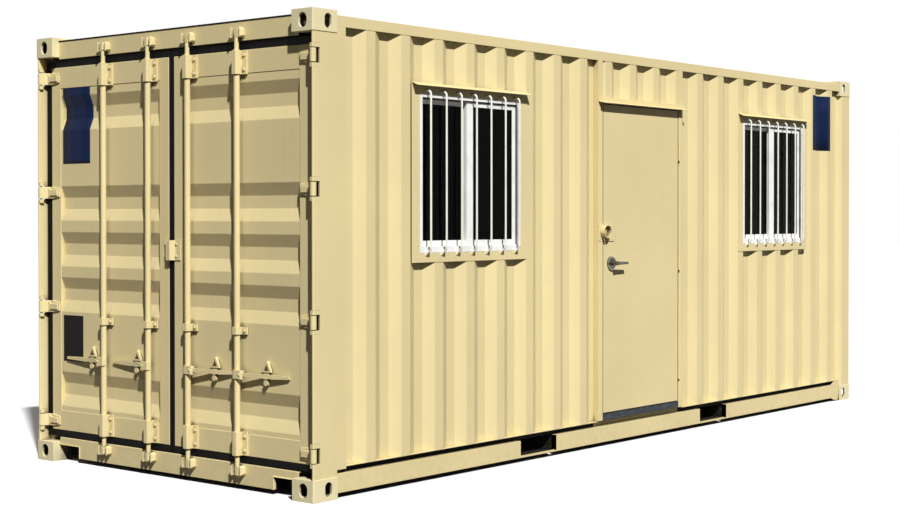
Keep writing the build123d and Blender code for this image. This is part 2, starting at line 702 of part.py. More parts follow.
def cross_member_places():
    """Bearers are spread evenly in the three bays that the fork pockets leave."""
    half = POCKET_WIDTH / 2 + POCKET_WALL
    ends = [end_x(HEADER_FACE + HEADER_DEPTH)]
    for centre in POCKET_CENTRES:
        ends += [centre - half, centre + half]
    ends.append(HALF_L - END_OUTER - END_SILL_DEPTH)
    places = []
    for a, b in zip(ends[0::2], ends[1::2]):
        count = round((b - a) / MEMBER_PITCH)
        pitch = (b - a - MEMBER_WIDTH) / count
        places += [a + k * pitch for k in range(1, count)]
    return places


def fork_pocket(centre):
    """Tunnel through the base with a strap below it at each side."""
    w = POCKET_WALL
    half = POCKET_WIDTH / 2
    edge = side_y(LAP_FACE + RAIL_WALL)
    z0 = RAIL_BOTTOM + RAIL_WALL
    tunnel = block(centre - half - w, centre + half + w, edge, -edge, z0, POCKET_TOP + MEMBER_WALL)
    tunnel -= block(centre - half, centre + half, edge, -edge, z0, POCKET_TOP)
    strap = block(centre - half - w, centre + half + w, edge, edge + STRAP_WIDTH, RAIL_BOTTOM, z0)
    return tunnel + strap + across(strap)


def base():
    write("roof_panel", [roof_panel()])
    write("floor_board", [floor_board()])
    write("cross_members", [cross_member(x) for x in cross_member_places()])
    write("fork_pockets", [fork_pocket(c) for c in POCKET_CENTRES])


# ---------------------------------------------------------------- windows
def window_surround(centre):
    """Flange on the wall, a sleeve through it and a hood folded out along the top."""
    half = WINDOW_SIZE / 2 + WINDOW_FIT
    front = side_y(PANEL_OUTER - SLEEVE_T)
    back = side_y(PANEL_OUTER)
    z0 = WINDOW_BOTTOM - FLANGE_BELOW
    z1 = WINDOW_TOP + FLANGE_ABOVE
    x0 = centre - WINDOW_SIZE / 2 - FLANGE_SIDE
    x1 = centre + WINDOW_SIZE / 2 + FLANGE_SIDE
    flange = block(x0, x1, front, back, z0, z1)
    sleeve = block(centre - half - SLEEVE_T, centre + half + SLEEVE_T, front, front + SLEEVE_DEPTH,
                   WINDOW_BOTTOM - WINDOW_FIT - SLEEVE_T, WINDOW_TOP + WINDOW_FIT + SLEEVE_T)
    hole = block(centre - half, centre + half, front, front + SLEEVE_DEPTH,
                 WINDOW_BOTTOM - WINDOW_FIT, WINDOW_TOP + WINDOW_FIT)
    hood = along_x([(back, z1 - SLEEVE_T), (back, z1), (front, z1), (front - HOOD_REACH, z1 - HOOD_FALL),
                    (front - HOOD_REACH, z1 - HOOD_FALL - SLEEVE_T), (front, z1 - SLEEVE_T)], x0, x1)
    return flange + sleeve - hole + hood


def window_frame(centre):
    """White outer frame of a sliding window."""
    half = WINDOW_SIZE / 2
    front = side_y(FRAME_FRONT)
    outer = block(centre - half, centre + half, front, front + FRAME_DEPTH, WINDOW_BOTTOM, WINDOW_TOP)
    hole = block(centre - half + FRAME_FACE, centre + half - FRAME_FACE, front, front + FRAME_DEPTH,
                 WINDOW_BOTTOM + FRAME_SILL, WINDOW_TOP - FRAME_FACE)
    return outer - hole


def sash_span(centre, right):
    """Left and right edge of a sash; the outer one is on the right."""
    inner = WINDOW_SIZE / 2 - FRAME_FACE
    middle = SASH_MEETING / 2
    if right:
        return centre - middle, centre + inner
    return centre - inner, centre + middle


def window_sash(centre, right):
    x0, x1 = sash_span(centre, right)
    left_stile = SASH_MEETING if right else SASH_STILE
    right_stile = SASH_STILE if right else SASH_MEETING
    y0 = side_y(SASH_OUTER if right else SASH_INNER)
    z0 = WINDOW_BOTTOM + FRAME_SILL
    z1 = WINDOW_TOP - FRAME_FACE
    outer = block(x0, x1, y0, y0 + SASH_T, z0, z1)
    return outer - block(x0 + left_stile, x1 - right_stile, y0, y0 + SASH_T, z0 + SASH_RAIL, z1 - SASH_RAIL)


def window_pane(centre, right):
    x0, x1 = sash_span(centre, right)
    left_stile = SASH_MEETING if right else SASH_STILE
    right_stile = SASH_STILE if right else SASH_MEETING
    y0 = side_y(SASH_OUTER if right else SASH_INNER) + (SASH_T - GLASS_T) / 2
    z0 = WINDOW_BOTTOM + FRAME_SILL + SASH_RAIL
    z1 = WINDOW_TOP - FRAME_FACE - SASH_RAIL
    return block(x0 + left_stile, x1 - right_stile, y0, y0 + GLASS_T, z0, z1)


def windows():
    sides = (False, True)
    write("window_surrounds", [window_surround(c) for c in WINDOW_CENTRES])
    write("window_frames", [window_frame(c) for c in WINDOW_CENTRES])
    write("window_sashes", [window_sash(c, s) for c in WINDOW_CENTRES for s in sides])
    write("window_glass", [window_pane(c, s) for c in WINDOW_CENTRES for s in sides])


# ---------------------------------------------------------------- entry door frame
def entry_post(x0, x1, stop_x0, stop_x1):
    """Hollow post from the floor to the top rail with a stop strip for the slab."""
    y0 = side_y(POST_INSET)
    y1 = y0 + ENTRY_POST_DEPTH
    t = ENTRY_POST_WALL
    post = block(x0, x1, y0, y1, FLOOR_TOP, TOP_RAIL_BOTTOM)
    post -= block(x0 + t, x1 - t, y0 + t, y1 - t, FLOOR_TOP, TOP_RAIL_BOTTOM)
    strip_y = side_y(SLAB_FACE + SLAB_T + GASKET_CLEAR)
    strip = block(stop_x0, stop_x1, strip_y, strip_y + STOP_STRIP, THRESHOLD_TOP, ENTRY_HEAD_BOTTOM)
    return post + strip


def entry_head():
    y0 = side_y(POST_INSET)
    t = ENTRY_POST_WALL
    y1 = y0 + ENTRY_POST_DEPTH
    head = block(ENTRY_LEFT, ENTRY_RIGHT, y0, y1, ENTRY_HEAD_BOTTOM, ENTRY_HEAD_TOP)
    return head - block(ENTRY_LEFT, ENTRY_RIGHT, y0 + t, y1 - t, ENTRY_HEAD_BOTTOM + t, ENTRY_HEAD_TOP - t)


def drip_cap():
    """Folded cap over the entry door: a flange on the frame and a sloping blade."""
    back = side_y(POST_INSET)
    front = back - SLEEVE_T
    z0 = ENTRY_HEAD_BOTTOM + DRIP_FALL
    t = SLEEVE_T
    section = [(back, z0), (back, z0 + DRIP_FLANGE), (front, z0 + DRIP_FLANGE), (front, z0 + t),
               (front - DRIP_REACH, z0 + t - DRIP_FALL), (front - DRIP_REACH, z0 - DRIP_FALL), (front, z0)]
    return along_x(section, ENTRY_LEFT - ENTRY_POST, DRIP_RIGHT)


def threshold():
    y0 = side_y(POST_INSET)
    y1 = y0 + THRESHOLD_DEPTH
    back, drop = THRESHOLD_BACK
    section = [(y0, FLOOR_TOP), (y1, FLOOR_TOP), (y1, THRESHOLD_TOP - drop), (y1 - back, THRESHOLD_TOP),
               (y0 + THRESHOLD_NOSE, THRESHOLD_TOP), (y0, THRESHOLD_TOP - THRESHOLD_NOSE)]
    return along_x(section, ENTRY_LEFT, ENTRY_RIGHT)


def knuckle_spans(z):
    """The hinge's height cut into equal knuckles with a small gap between them."""
    step = HINGE_HEIGHT / KNUCKLES
    low = z - HINGE_HEIGHT / 2
    return [(low + k * step + SEAT / 2, low + (k + 1) * step - SEAT / 2) for k in range(KNUCKLES)]


def hinge_plate(x, z):
    """Flat half of a butt hinge behind the barrel."""
    root = side_y(-HINGE_AXIS_OUT) + HINGE_BARREL_R + SEAT
    return block(x, x + HINGE_PLATE, root, side_y(HINGE_PLATE_DEPTH), z - HINGE_HEIGHT / 2,
                 z + HINGE_HEIGHT / 2)


def hinge_knuckle(x, span):
    """One knuckle of the barrel with the fold that joins it to the plate at x."""
    y = side_y(-HINGE_AXIS_OUT)
    fold = block(HINGE_AXIS_X, x, y, y + HINGE_BARREL_R + 2 * SEAT, *span)
    return rod(HINGE_AXIS_X, y, *span, HINGE_BARREL_R) + fold


def hinge_jamb(z):
    """Frame half of a butt hinge, with its pin."""
    spans = knuckle_spans(z)
    pin = rod(HINGE_AXIS_X, side_y(-HINGE_AXIS_OUT), sum(spans[0]) / 2, sum(spans[-1]) / 2, HINGE_PIN_R)
    half = hinge_plate(ENTRY_RIGHT - HINGE_PLATE, z) + pin
    for span in spans[0::2]:
        half += hinge_knuckle(ENTRY_RIGHT, span)
    return half


def hinge_leaf(z):
    """Door half of a butt hinge, bored for the pin."""
    half = hinge_plate(SLAB_RIGHT, z)
    for span in knuckle_spans(z)[1::2]:
        half += hinge_knuckle(SLAB_RIGHT, span)
    bore = rod(HINGE_AXIS_X, side_y(-HINGE_AXIS_OUT), z - HINGE_HEIGHT / 2, z + HINGE_HEIGHT / 2,
               HINGE_PIN_R + RUNNING)
    return half - bore


def hasp_ring():
    """Round shroud of the padlock hasp, standing out from the door face."""
    base_y = side_y(POST_INSET - HASP_PLATE)
    ring = stub(HASP_X, HASP_Z, base_y, base_y - HASP_REACH, HASP_R)
    return ring - stub(HASP_X, HASP_Z, base_y, base_y - HASP_REACH, HASP_R - HASP_WALL)


def hasp_jamb_half():
    face = side_y(POST_INSET)
    edge = HASP_X - HASP_GAP / 2
    low = HASP_Z - HASP_HEIGHT / 2
    high = HASP_Z + HASP_HEIGHT / 2
    plate = block(HASP_LEFT, ENTRY_LEFT, face - HASP_PLATE, face, low, high)
    ring = hasp_ring() & block(HASP_X - 2 * HASP_R, edge, face - 2 * HASP_REACH, face, low, high)
    lug = block(edge - HASP_WALL * 2, edge, face - HASP_PLATE - HASP_REACH / 2, face - HASP_PLATE,
                HASP_Z - HASP_WALL * 3, HASP_Z + HASP_WALL * 3)
    foot = block(ENTRY_LEFT, edge, face - HASP_PLATE, face, HASP_Z - HASP_R, HASP_Z + HASP_R)
    return plate + foot + ring + lug


def hasp_door_half():
    face = side_y(SLAB_FACE)
    edge = HASP_X + HASP_GAP / 2
    low = HASP_Z - HASP_HEIGHT / 2
    high = HASP_Z + HASP_HEIGHT / 2
    t = HASP_PLATE + SLAB_FACE - POST_INSET
    plate = block(SLAB_LEFT, HASP_RIGHT, face - t, face, low, high)
    ring = hasp_ring() & block(edge, HASP_X + 2 * HASP_R, face - 2 * HASP_REACH, face, low, high)
    lug = block(edge, edge + HASP_WALL * 2, face - t - HASP_REACH / 2, face - t,
                HASP_Z - HASP_WALL * 3, HASP_Z + HASP_WALL * 3)
    return plate + ring + lug


def entry_frame():
    write("entry_posts", [
        entry_post(ENTRY_LEFT - ENTRY_POST, ENTRY_LEFT, ENTRY_LEFT, ENTRY_LEFT + STOP_STRIP),
        entry_post(ENTRY_RIGHT, ENTRY_RIGHT + ENTRY_POST, ENTRY_RIGHT - STOP_STRIP, ENTRY_RIGHT)])
    write("entry_head", [entry_head()])
    write("drip_cap", [drip_cap()])
    write("entry_threshold", [threshold()])
    write("entry_hinge_jambs", [hinge_jamb(z) for z in HINGE_CENTRES])
    write("hasp_jamb_half", [hasp_jamb_half()])


# ---------------------------------------------------------------- entry door
def entry_slab():
    """Flush steel door, bored for the lever spindle."""
    y0 = side_y(SLAB_FACE)
    slab = block(SLAB_LEFT, SLAB_RIGHT, y0, y0 + SLAB_T, SLAB_BOTTOM, ENTRY_TOP)
    return slab - stub(LEVER_X, LEVER_Z, y0, y0 + SLAB_T, SPINDLE_HOLE_R)


def lever_rose(y0, y1):
    """Round cover, bored for the lever's hub."""
    rose = stub(LEVER_X, LEVER_Z, y0, y1, ROSE_R)
    return rose - stub(LEVER_X, LEVER_Z, y0, y1, LEVER_HUB_R + SEAT)


def lever_arm(face, outward):
    """Hub and lever on one face of the slab; outward is -1 outside and +1 inside."""
    tip = face + outward * LEVER_REACH
    root = tip - outward * LEVER_T
    hub = stub(LEVER_X, LEVER_Z, face + outward * SEAT, tip, LEVER_HUB_R)
    h = LEVER_HEIGHT / 2
    outline = [(LEVER_X, LEVER_Z - h), (LEVER_X + LEVER_LENGTH, LEVER_Z - LEVER_TIP / 2),
               (LEVER_X + LEVER_LENGTH, LEVER_Z + LEVER_TIP / 2), (LEVER_X, LEVER_Z + h)]
    arm = along_y(outline, min(root, tip), max(root, tip))
    return hub + arm


def lever_set():
    """Outer and inner lever on one spindle through the slab."""
    front = side_y(SLAB_FACE)
    back = front + SLAB_T
    spindle = stub(LEVER_X, LEVER_Z, front - 2 * SEAT, back + 2 * SEAT, SPINDLE_R)
    return lever_arm(front, -1) + spindle + lever_arm(back, 1)


def entry_door():
    front = side_y(SLAB_FACE)
    back = front + SLAB_T
    write("entry_slab", [entry_slab()])
    write("lever_roses", [lever_rose(front - ROSE_T, front), lever_rose(back, back + ROSE_T)])
    write("entry_hinge_leaves", [hinge_leaf(z) for z in HINGE_CENTRES])
    write("hasp_door_half", [hasp_door_half()])
    write("lever_set", [lever_set()])


# ---------------------------------------------------------------- cargo leaves, drawn for the -Y leaf
def leaf_frame():
    """Welded frame of hollow stiles and rails."""
    x0 = end_x(LEAF_FACE)
    x1 = end_x(LEAF_BACK)
    t = LEAF_WALL
    y_out = -LEAF_OUTER
    y_in = -LEAF_INNER
    frame = block(x0, x1, y_out, y_in, LEAF_BOTTOM, LEAF_TOP)
    z0 = LEAF_BOTTOM + LEAF_BOTTOM_RAIL
    z1 = LEAF_TOP - LEAF_TOP_RAIL
    y0 = y_out + STILE_OUTER
    y1 = y_in - STILE_INNER
    frame -= block(x0, x1, y0, y1, z0, z1)
    frame -= block(x0 + t, x1 - t, y_out + t, y0 - t, LEAF_BOTTOM + t, LEAF_TOP - t)
    frame -= block(x0 + t, x1 - t, y1 + t, y_in - t, LEAF_BOTTOM + t, LEAF_TOP - t)
    frame -= block(x0 + t, x1 - t, y0, y1, LEAF_BOTTOM + t, z0 - t)
    frame -= block(x0 + t, x1 - t, y0, y1, z1 + t, LEAF_TOP - t)
    return frame


def leaf_panel():
    """Sheet with five troughs pressed towards the inside."""
    z0 = LEAF_BOTTOM + LEAF_BOTTOM_RAIL
    z1 = LEAF_TOP - LEAF_TOP_RAIL
    line = [(z0, 0)]
    half = TROUGH_FLAT / 2
    for z in TROUGH_CENTRES:
        line += [(z - half - TROUGH_SLOPE, 0), (z - half, TROUGH_DEPTH), (z + half, TROUGH_DEPTH),
                 (z + half + TROUGH_SLOPE, 0)]
    line.append((z1, 0))
    front = [(end_x(LEAF_PANEL_FACE + d), z) for z, d in line]
    back = [(x + SHEET, z) for x, z in reversed(front)]
    return along_y(front + back, -LEAF_OUTER + STILE_OUTER, -LEAF_INNER - STILE_INNER)


def leaf_gasket():
    """Rubber strips all round the leaf, joined at the corners."""
    x0 = end_x(GASKET_FACE)
    x1 = x0 + GASKET_T
    y_out = side_y(POST_INSET + POST_PLATE + GASKET_CLEAR + GASKET_SIDE)
    z0 = SILL_TOP + GASKET_CLEAR
    z1 = HEADER_BOTTOM - GASKET_CLEAR
    ring = block(x0, x1, y_out, -GASKET_GAP, z0, z1)
    return ring - block(x0, x1, -LEAF_OUTER, -LEAF_INNER, LEAF_BOTTOM, LEAF_TOP)


def cargo_hinge(z):
    """Forged hinge blade: a bored knuckle, a cranked arm and a tapered, ribbed blade on the leaf's face."""
    def point(depth, inset):
        return (end_x(depth), side_y(inset))
    r = KNUCKLE_R
    c = PIN_INSET
    tip = BLADE_REACH
    front = LEAF_FACE - BLADE_T
    half = BLADE_HEIGHT / 2
    arm = upright([point(c, c + r), point(front - BLADE_RIB_T, c + 2 * r), point(front, c + 2.5 * r),
                   point(front, tip),
                   point(LEAF_FACE, tip), point(LEAF_FACE, c + 1.5 * r), point(c + r, c)], z - half, z + half)
    small = BLADE_TIP_HEIGHT / 2
    start = side_y(LEAF_FACE + r)
    end = side_y(tip)
    x0 = end_x(0)
    for s in (-1, 1):
        wedge = make_face(Polyline((x0, start, z + s * half), (x0, end, z + s * small),
                                   (x0, end, z + s * 2 * half),
                                   (x0, start, z + s * 2 * half), close=True))
        arm -= extrude(wedge, amount=2 * LEAF_FACE, dir=(1, 0, 0))
    rib = BLADE_RIB_HEIGHT / 2
    y1 = side_y(tip - BLADE_RIB_STOP)
    arm += along_x([(side_y(c + 2 * r), z - half), (start, z - rib), (y1, z - rib), (y1, z + rib),
                    (start, z + rib),
                    (side_y(c + 2 * r), z + half)], end_x(front - BLADE_RIB_T), end_x(front))
    blade = arm + rod(end_x(c), side_y(c), z - half, z + half, r)
    return blade - rod(end_x(c), side_y(c), z - half, z + half, PIN_R + RUNNING)


def rod_bracket(y, span):
    """Saddle over a lock rod, open towards the leaf, with a bolting flange on its -Y side."""
    z0, z1 = span
    x = end_x(ROD_DEPTH)
    face = end_x(LEAF_FACE)
    r = ROD_R + SEAT
    w = r + BRACKET_WALL
    c = w - BRACKET_CORNER
    foot = face - BRACKET_FLANGE_T
    edge = y - w - BRACKET_FLANGE
    outline = [(face, y + w), (x - c, y + w), (x - w, y + c), (x - w, y - c), (x - c, y - w), (foot, y - w),
               (foot, edge), (face, edge)]
    channel = block(x, face, y - r, y + r, z0, z1) + rod(x, y, z0, z1, r)
    return upright(outline, z0, z1) - channel


def handle_catch(y):
    """Forged catch: a plate on the panel, a knob below the handle and a sealing loop above it."""
    face = end_x(LEAF_PANEL_FACE)
    back = face - CATCH_T
    front = end_x(ROD_DEPTH - HANDLE_T)
    half = CATCH_WIDTH / 2
    neck = CATCH_NECK / 2
    clear = HANDLE_BOSS / 2 + HANDLE_CLEAR
    plate = along_x([(y - neck, CATCH_BOTTOM), (y + neck, CATCH_BOTTOM), (y + half, HANDLE_Z - clear),
                     (y + half, HANDLE_Z + clear), (y + neck, CATCH_TOP), (y - neck, CATCH_TOP),
                     (y - half, HANDLE_Z + clear), (y - half, HANDLE_Z - clear)], back, face)
    r = KNOB_R
    c = r - KNOB_CORNER
    zk = HANDLE_Z - clear - r
    knob = along_x([(y - c, zk - r), (y + c, zk - r), (y + r, zk - c), (y + r, zk + c), (y + c, zk + r),
                    (y - c, zk + r), (y - r, zk + c), (y - r, zk - c)], front, back)
    low = HANDLE_Z + clear
    wide = LOOP_WIDTH / 2
    bar = LOOP_BAR
    tip = LOOP_TIP / 2
    loop = along_x([(y - wide, low), (y + wide, low), (y + wide, low + bar), (y + tip, CATCH_TOP - bar),
                    (y + tip - bar, CATCH_TOP), (y - tip + bar, CATCH_TOP), (y - tip, CATCH_TOP - bar),
                    (y - wide, low + bar)], back - LOOP_T, back)
    hole = wide - 2 * bar
    loop -= along_x([(y - hole, low + bar), (y + hole, low + bar), (y, CATCH_TOP - 2 * bar)], back - LOOP_T, back)
    return plate + knob + loop


def lock_cam(y, way, span):
    """Forged cam on the rod's end: a head with a nose on the handle's side and clipped corners."""
    x = end_x(ROD_DEPTH)
    h = CAM_HEAD
    n = CAM_NOSE
    plan = [(-h, -h / 2), (-h / 2, -h), (h / 2, -h), (h, -h / 2), (h, h), (h / 2, n), (-h / 4, n),
            (-h / 2, h), (-h, h)]
    z0, z1 = span
    c = CAM_CORNER
    front = [(-h, z0 + c), (-h + c, z0), (n - c, z0), (n, z0 + c), (n, z1 - c), (n - c, z1), (-h + c, z1),
             (-h, z1 - c)]
    head = upright([(x + d, y + way * s) for d, s in plan], z0, z1)
    return head & along_x([(y + way * s, z) for s, z in front], x - h, x + h)


def lock_handle(y, way, length, catch):
    """Forged handle: a clipped hub round the rod, a waist, a boss at the catch and a tapered, bent grip."""
    x = end_x(ROD_DEPTH)
    hub = HUB_HEIGHT / 2
    waist = HANDLE_WAIST / 2
    boss = HANDLE_BOSS / 2
    grip = HANDLE_GRIP / 2
    half = HANDLE_BOSS_HALF
    profile = [(0, waist), (catch - half, waist), (catch - half / 2, boss), (catch + half / 2, boss),
               (catch + half, waist),
               (catch + 2 * half, grip), (length, HANDLE_TIP / 2)]
    lower = [(y + way * s, HANDLE_Z - h) for s, h in profile]
    upper = [(y + way * s, HANDLE_Z + h) for s, h in reversed(profile)]
    bent = catch + half
    plan = [(-HANDLE_T, 0), (-HANDLE_T, bent), (HANDLE_BEND - HANDLE_T, length), (HANDLE_BEND, length),
            (0, bent), (0, 0)]
    arm = along_x(lower + upper, x - HANDLE_T, x + HANDLE_BEND)
    arm &= upright([(x + d, y + way * s) for d, s in plan], HANDLE_Z - boss, HANDLE_Z + boss)
    c = HUB_CHAMFER
    plan = [(0, -HUB_BACK), (c - HUB_FRONT, -HUB_BACK), (-HUB_FRONT, c - HUB_BACK),
            (-HUB_FRONT, HUB_LENGTH - c),
            (c - HUB_FRONT, HUB_LENGTH), (0, HUB_LENGTH)]
    return arm + upright([(x + d, y + way * s) for d, s in plan], HANDLE_Z - hub, HANDLE_Z + hub)


def lock_rod(y, way, length, catch):
    """Lock rod with its necks, cams and handle in one; way is the side the handle points to along Y."""
    x = end_x(ROD_DEPTH)
    low = BOTTOM_BRACKET[0] - ROD_SHOULDER
    high = TOP_BRACKET[1] + ROD_SHOULDER
    bar = rod(x, y, low, high, ROD_R)
    bar += rod(x, y, BOTTOM_CAM[1], low, NECK_R) + rod(x, y, high, TOP_CAM[0], NECK_R)
    bar += lock_cam(y, way, TOP_CAM) + lock_cam(y, way, BOTTOM_CAM)
    return bar + lock_handle(y, way, length, catch)


def cam_keeper(y, span):
    """Keeper welded on the header or sill: a waisted base with a clipped ear on each side of the cam."""
    z0 = span[0] - KEEPER_MARGIN
    z1 = span[1] + KEEPER_MARGIN
    inner = KEEPER_INNER
    outer = inner + KEEPER_EAR
    face = end_x(HEADER_FACE)
    base = face - KEEPER_BASE
    front = end_x(KEEPER_FRONT)
    c = KEEPER_CORNER
    w = KEEPER_WAIST
    plan = [(face, y - outer), (front + c, y - outer), (front, y - outer + c / 2), (front, y - inner),
            (base, y - inner), (base, y + inner), (front, y + inner), (front, y + outer - c / 2),
            (front + c, y + outer), (face, y + outer)]
    edge = [(outer, z0 + c), (outer - c, z0), (inner - w, z0), (inner - 2 * w, z0 + w)]
    lower = [(y - s, z) for s, z in edge] + [(y + s, z) for s, z in reversed(edge)]
    upper = [(u, z0 + z1 - z) for u, z in reversed(lower)]
    return upright(plan, z0, z1) & along_x(lower + upper, front, face)


def cover_plate(left):
    """Half of the folded guard plate over the gap between the leaves."""
    reach = COVER_LEFT if left else COVER_RIGHT
    t = COVER_T
    d0 = LEAF_FACE
    d1 = COVER_REACH
    outline = [(d0, reach), (d0, LEAF_INNER + 2 * t), (d1 + t, LEAF_INNER / 2), (d1 + t, COVER_GAP),
               (d1, COVER_GAP),
               (d1, LEAF_INNER / 2 + t), (d0 - t, LEAF_INNER + 3 * t), (d0 - t, reach)]
    sign = 1 if left else -1
    points = [(end_x(d), sign * y) for d, y in outline]
    return upright(points, COVER_BOTTOM, COVER_TOP)


def leaf_fittings(rods, way, catches):
    pieces = [cover_plate(way > 0)]
    for y, catch in zip(rods, catches):
        pieces += [rod_bracket(y, span) for span in (TOP_BRACKET, MIDDLE_BRACKET, BOTTOM_BRACKET)]
        pieces.append(handle_catch(y + way * catch))
    return pieces


def hinge_lugs(z):
    """Two clipped lugs that fill the ends of the post's notch, with the hinge pin between them."""
    def point(depth, inset):
        return (end_x(depth), side_y(inset))
    near = POST_INSET
    plate = POST_INSET + POST_PLATE
    far = PIN_INSET + LUG_REACH
    c = LUG_CHAMFER
    outline = [point(near, near + c), point(near + c, near), point(NOTCH_DEPTH, near),
               point(NOTCH_DEPTH, plate), point(far, plate), point(far, far - c), point(far - c, far),
               point(near + c, far), point(near, far - c)]
    half = NOTCH_HEIGHT / 2
    lugs = upright(outline, z - half - LUG_HEIGHT, z - half)
    lugs += upright(outline, z + half, z + half + LUG_HEIGHT)
    return lugs + rod(end_x(PIN_INSET), side_y(PIN_INSET), z - half, z + half, PIN_R)


def cargo_doors():
    lugs = []
    for z in CARGO_HINGES:
        lugs += both_sides(hinge_lugs(z))
    write("hinge_lugs", lugs)
    places = (ROD_OUTER, ROD_INNER)
    lengths = (OUTER_HANDLE, INNER_HANDLE)
    spans = (TOP_CAM, BOTTOM_CAM)
    keepers = [cam_keeper(side * y, span) for side in (1, -1) for y in places for span in spans]
    write("cam_keepers", keepers)
    frame = leaf_frame()
    panel = leaf_panel()
    gasket = leaf_gasket()
    blades = [cargo_hinge(z) for z in CARGO_HINGES]
    write("right_leaf_frame", [frame])
    write("left_leaf_frame", [across(frame)])
    write("right_leaf_panel", [panel])
    write("left_leaf_panel", [across(panel)])
    write("right_leaf_gasket", [gasket])
    write("left_leaf_gasket", [across(gasket)])
    write("right_leaf_hinges", blades)
    write("left_leaf_hinges", [across(b) for b in blades])
    face = end_x(LEAF_PANEL_FACE)
    y0 = LEAF_OUTER - PLATE_INSETS[1]
    y1 = LEAF_OUTER - PLATE_INSETS[0]
    write("blank_plate", [block(face - PLATE_T, face, y0, y1, PLATE_Z[0], PLATE_Z[1])])
    for leaf, way, catches in (("left", 1, LEFT_CATCHES), ("right", -1, RIGHT_CATCHES)):
        rods = [way * y for y in places]
        write(leaf + "_leaf_fittings", leaf_fittings(rods, way, catches))
        for name, y, length, catch in zip(("outer", "inner"), rods, lengths, catches):
            write(leaf + "_lock_rod_" + name, [lock_rod(y, way, length, catch)])


def main():
    os.makedirs("parts", exist_ok=True)
    castings()
    posts()
    end_frames()
    rails()
    walls()
    base()
    windows()
    entry_frame()
    entry_door()
    cargo_doors()


main()
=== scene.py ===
import json
import math
from functools import partial
import bmesh
import bpy
import numpy as np
from mathutils import Matrix, Vector

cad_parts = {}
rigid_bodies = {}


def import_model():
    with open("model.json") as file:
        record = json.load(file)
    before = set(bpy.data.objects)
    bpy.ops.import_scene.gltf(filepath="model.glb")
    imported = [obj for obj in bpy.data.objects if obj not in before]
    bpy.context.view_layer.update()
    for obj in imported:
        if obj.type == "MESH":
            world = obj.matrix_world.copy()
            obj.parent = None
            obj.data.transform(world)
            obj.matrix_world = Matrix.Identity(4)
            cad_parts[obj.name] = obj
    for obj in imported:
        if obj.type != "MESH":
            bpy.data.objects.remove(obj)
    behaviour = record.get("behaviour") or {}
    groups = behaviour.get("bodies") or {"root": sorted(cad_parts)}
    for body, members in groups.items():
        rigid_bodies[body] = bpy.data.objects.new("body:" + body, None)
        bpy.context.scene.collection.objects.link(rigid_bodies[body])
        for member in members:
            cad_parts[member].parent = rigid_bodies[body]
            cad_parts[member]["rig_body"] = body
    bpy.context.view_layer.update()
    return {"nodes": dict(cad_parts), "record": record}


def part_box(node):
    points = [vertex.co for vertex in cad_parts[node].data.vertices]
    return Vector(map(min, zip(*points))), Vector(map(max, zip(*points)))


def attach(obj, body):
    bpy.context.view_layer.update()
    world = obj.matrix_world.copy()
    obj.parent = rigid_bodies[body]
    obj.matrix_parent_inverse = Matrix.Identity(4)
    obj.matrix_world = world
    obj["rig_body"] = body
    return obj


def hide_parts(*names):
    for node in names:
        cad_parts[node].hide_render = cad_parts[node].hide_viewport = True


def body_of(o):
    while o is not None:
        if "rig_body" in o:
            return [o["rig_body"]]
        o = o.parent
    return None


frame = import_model()

# A steel shipping container turned into a cabin. Metres, +Z up, cargo doors at the -X end, entry door and
# windows in the -Y side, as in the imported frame. Everything below dresses the CAD nodes or rides on them.

MM = 0.001
TAU = 2 * math.pi


# ---------------- places read from the frame
def low(node):
    """The least x, y and z of a CAD node."""
    return np.array(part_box(node)[0])


def high(node):
    """The greatest x, y and z of a CAD node."""
    return np.array(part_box(node)[1])


def middle(node):
    """The middle of a CAD node's box."""
    return (low(node) + high(node)) / 2


END = low("bottom_corner_castings")[0]          # plane of the cargo-door end
SIDE = low("bottom_corner_castings")[1]         # plane of the side with the entry door
ROOF = high("top_corner_castings")[2]
SLAB_FACE = low("entry_slab")[1]
OUTER_FLAT = low("cabin_wall_left")[1]
WINDOW_FLANGE = SIDE + 5 * MM
WINDOW_HALF = (high("window_frames")[2] - low("window_frames")[2]) / 2
WINDOW_MIDDLE = middle("window_frames")[2]
WINDOWS = (low("window_frames")[0] + WINDOW_HALF, high("window_frames")[0] - WINDOW_HALF)
OUT_OF_END = (-1, 0, 0)
OUT_OF_SIDE = (0, -1, 0)

# Each lock rod: its side of the middle, its distance from it in mm, its leaf and its place on the leaf.
RODS = ((1, 592, "left", "outer"), (1, 176, "left", "inner"),
        (-1, 176, "right", "inner"), (-1, 592, "right", "outer"))


# ---------------- camera
def place_camera():
    """Stands the camera off the corner between the doors and the windowed side, at eye height."""
    yaw, pitch = math.radians(38.69), math.radians(-0.64)
    ahead = Vector((math.cos(yaw) * math.cos(pitch), math.sin(yaw) * math.cos(pitch), math.sin(pitch)))
    right = ahead.cross(Vector((0, 0, 1))).normalized()
    up = right.cross(ahead)
    data = bpy.data.cameras.new("viewpoint")
    data.sensor_width = 36.0
    data.lens = 63.12
    data.shift_x = -0.0759
    data.shift_y = -0.0232
    data.clip_end = 200.0
    eye = Vector((-8.774, -7.189, 1.511))
    camera = bpy.data.objects.new("viewpoint", data)
    turn = Matrix((right, up, -ahead)).transposed().to_4x4()
    camera.matrix_world = Matrix.Translation(eye) @ turn
    bpy.context.collection.objects.link(camera)
    bpy.context.scene.camera = camera


# ---------------- node trees
def linear(code, light=1.0):
    """sRGB hex to linear RGBA, with its light scaled."""
    channels = [int(code[i:i + 2], 16) / 255 for i in (1, 3, 5)]
    curve = [c / 12.92 if c <= 0.04045 else ((c + 0.055) / 1.055) ** 2.4 for c in channels]
    return [light * c for c in curve] + [1.0]


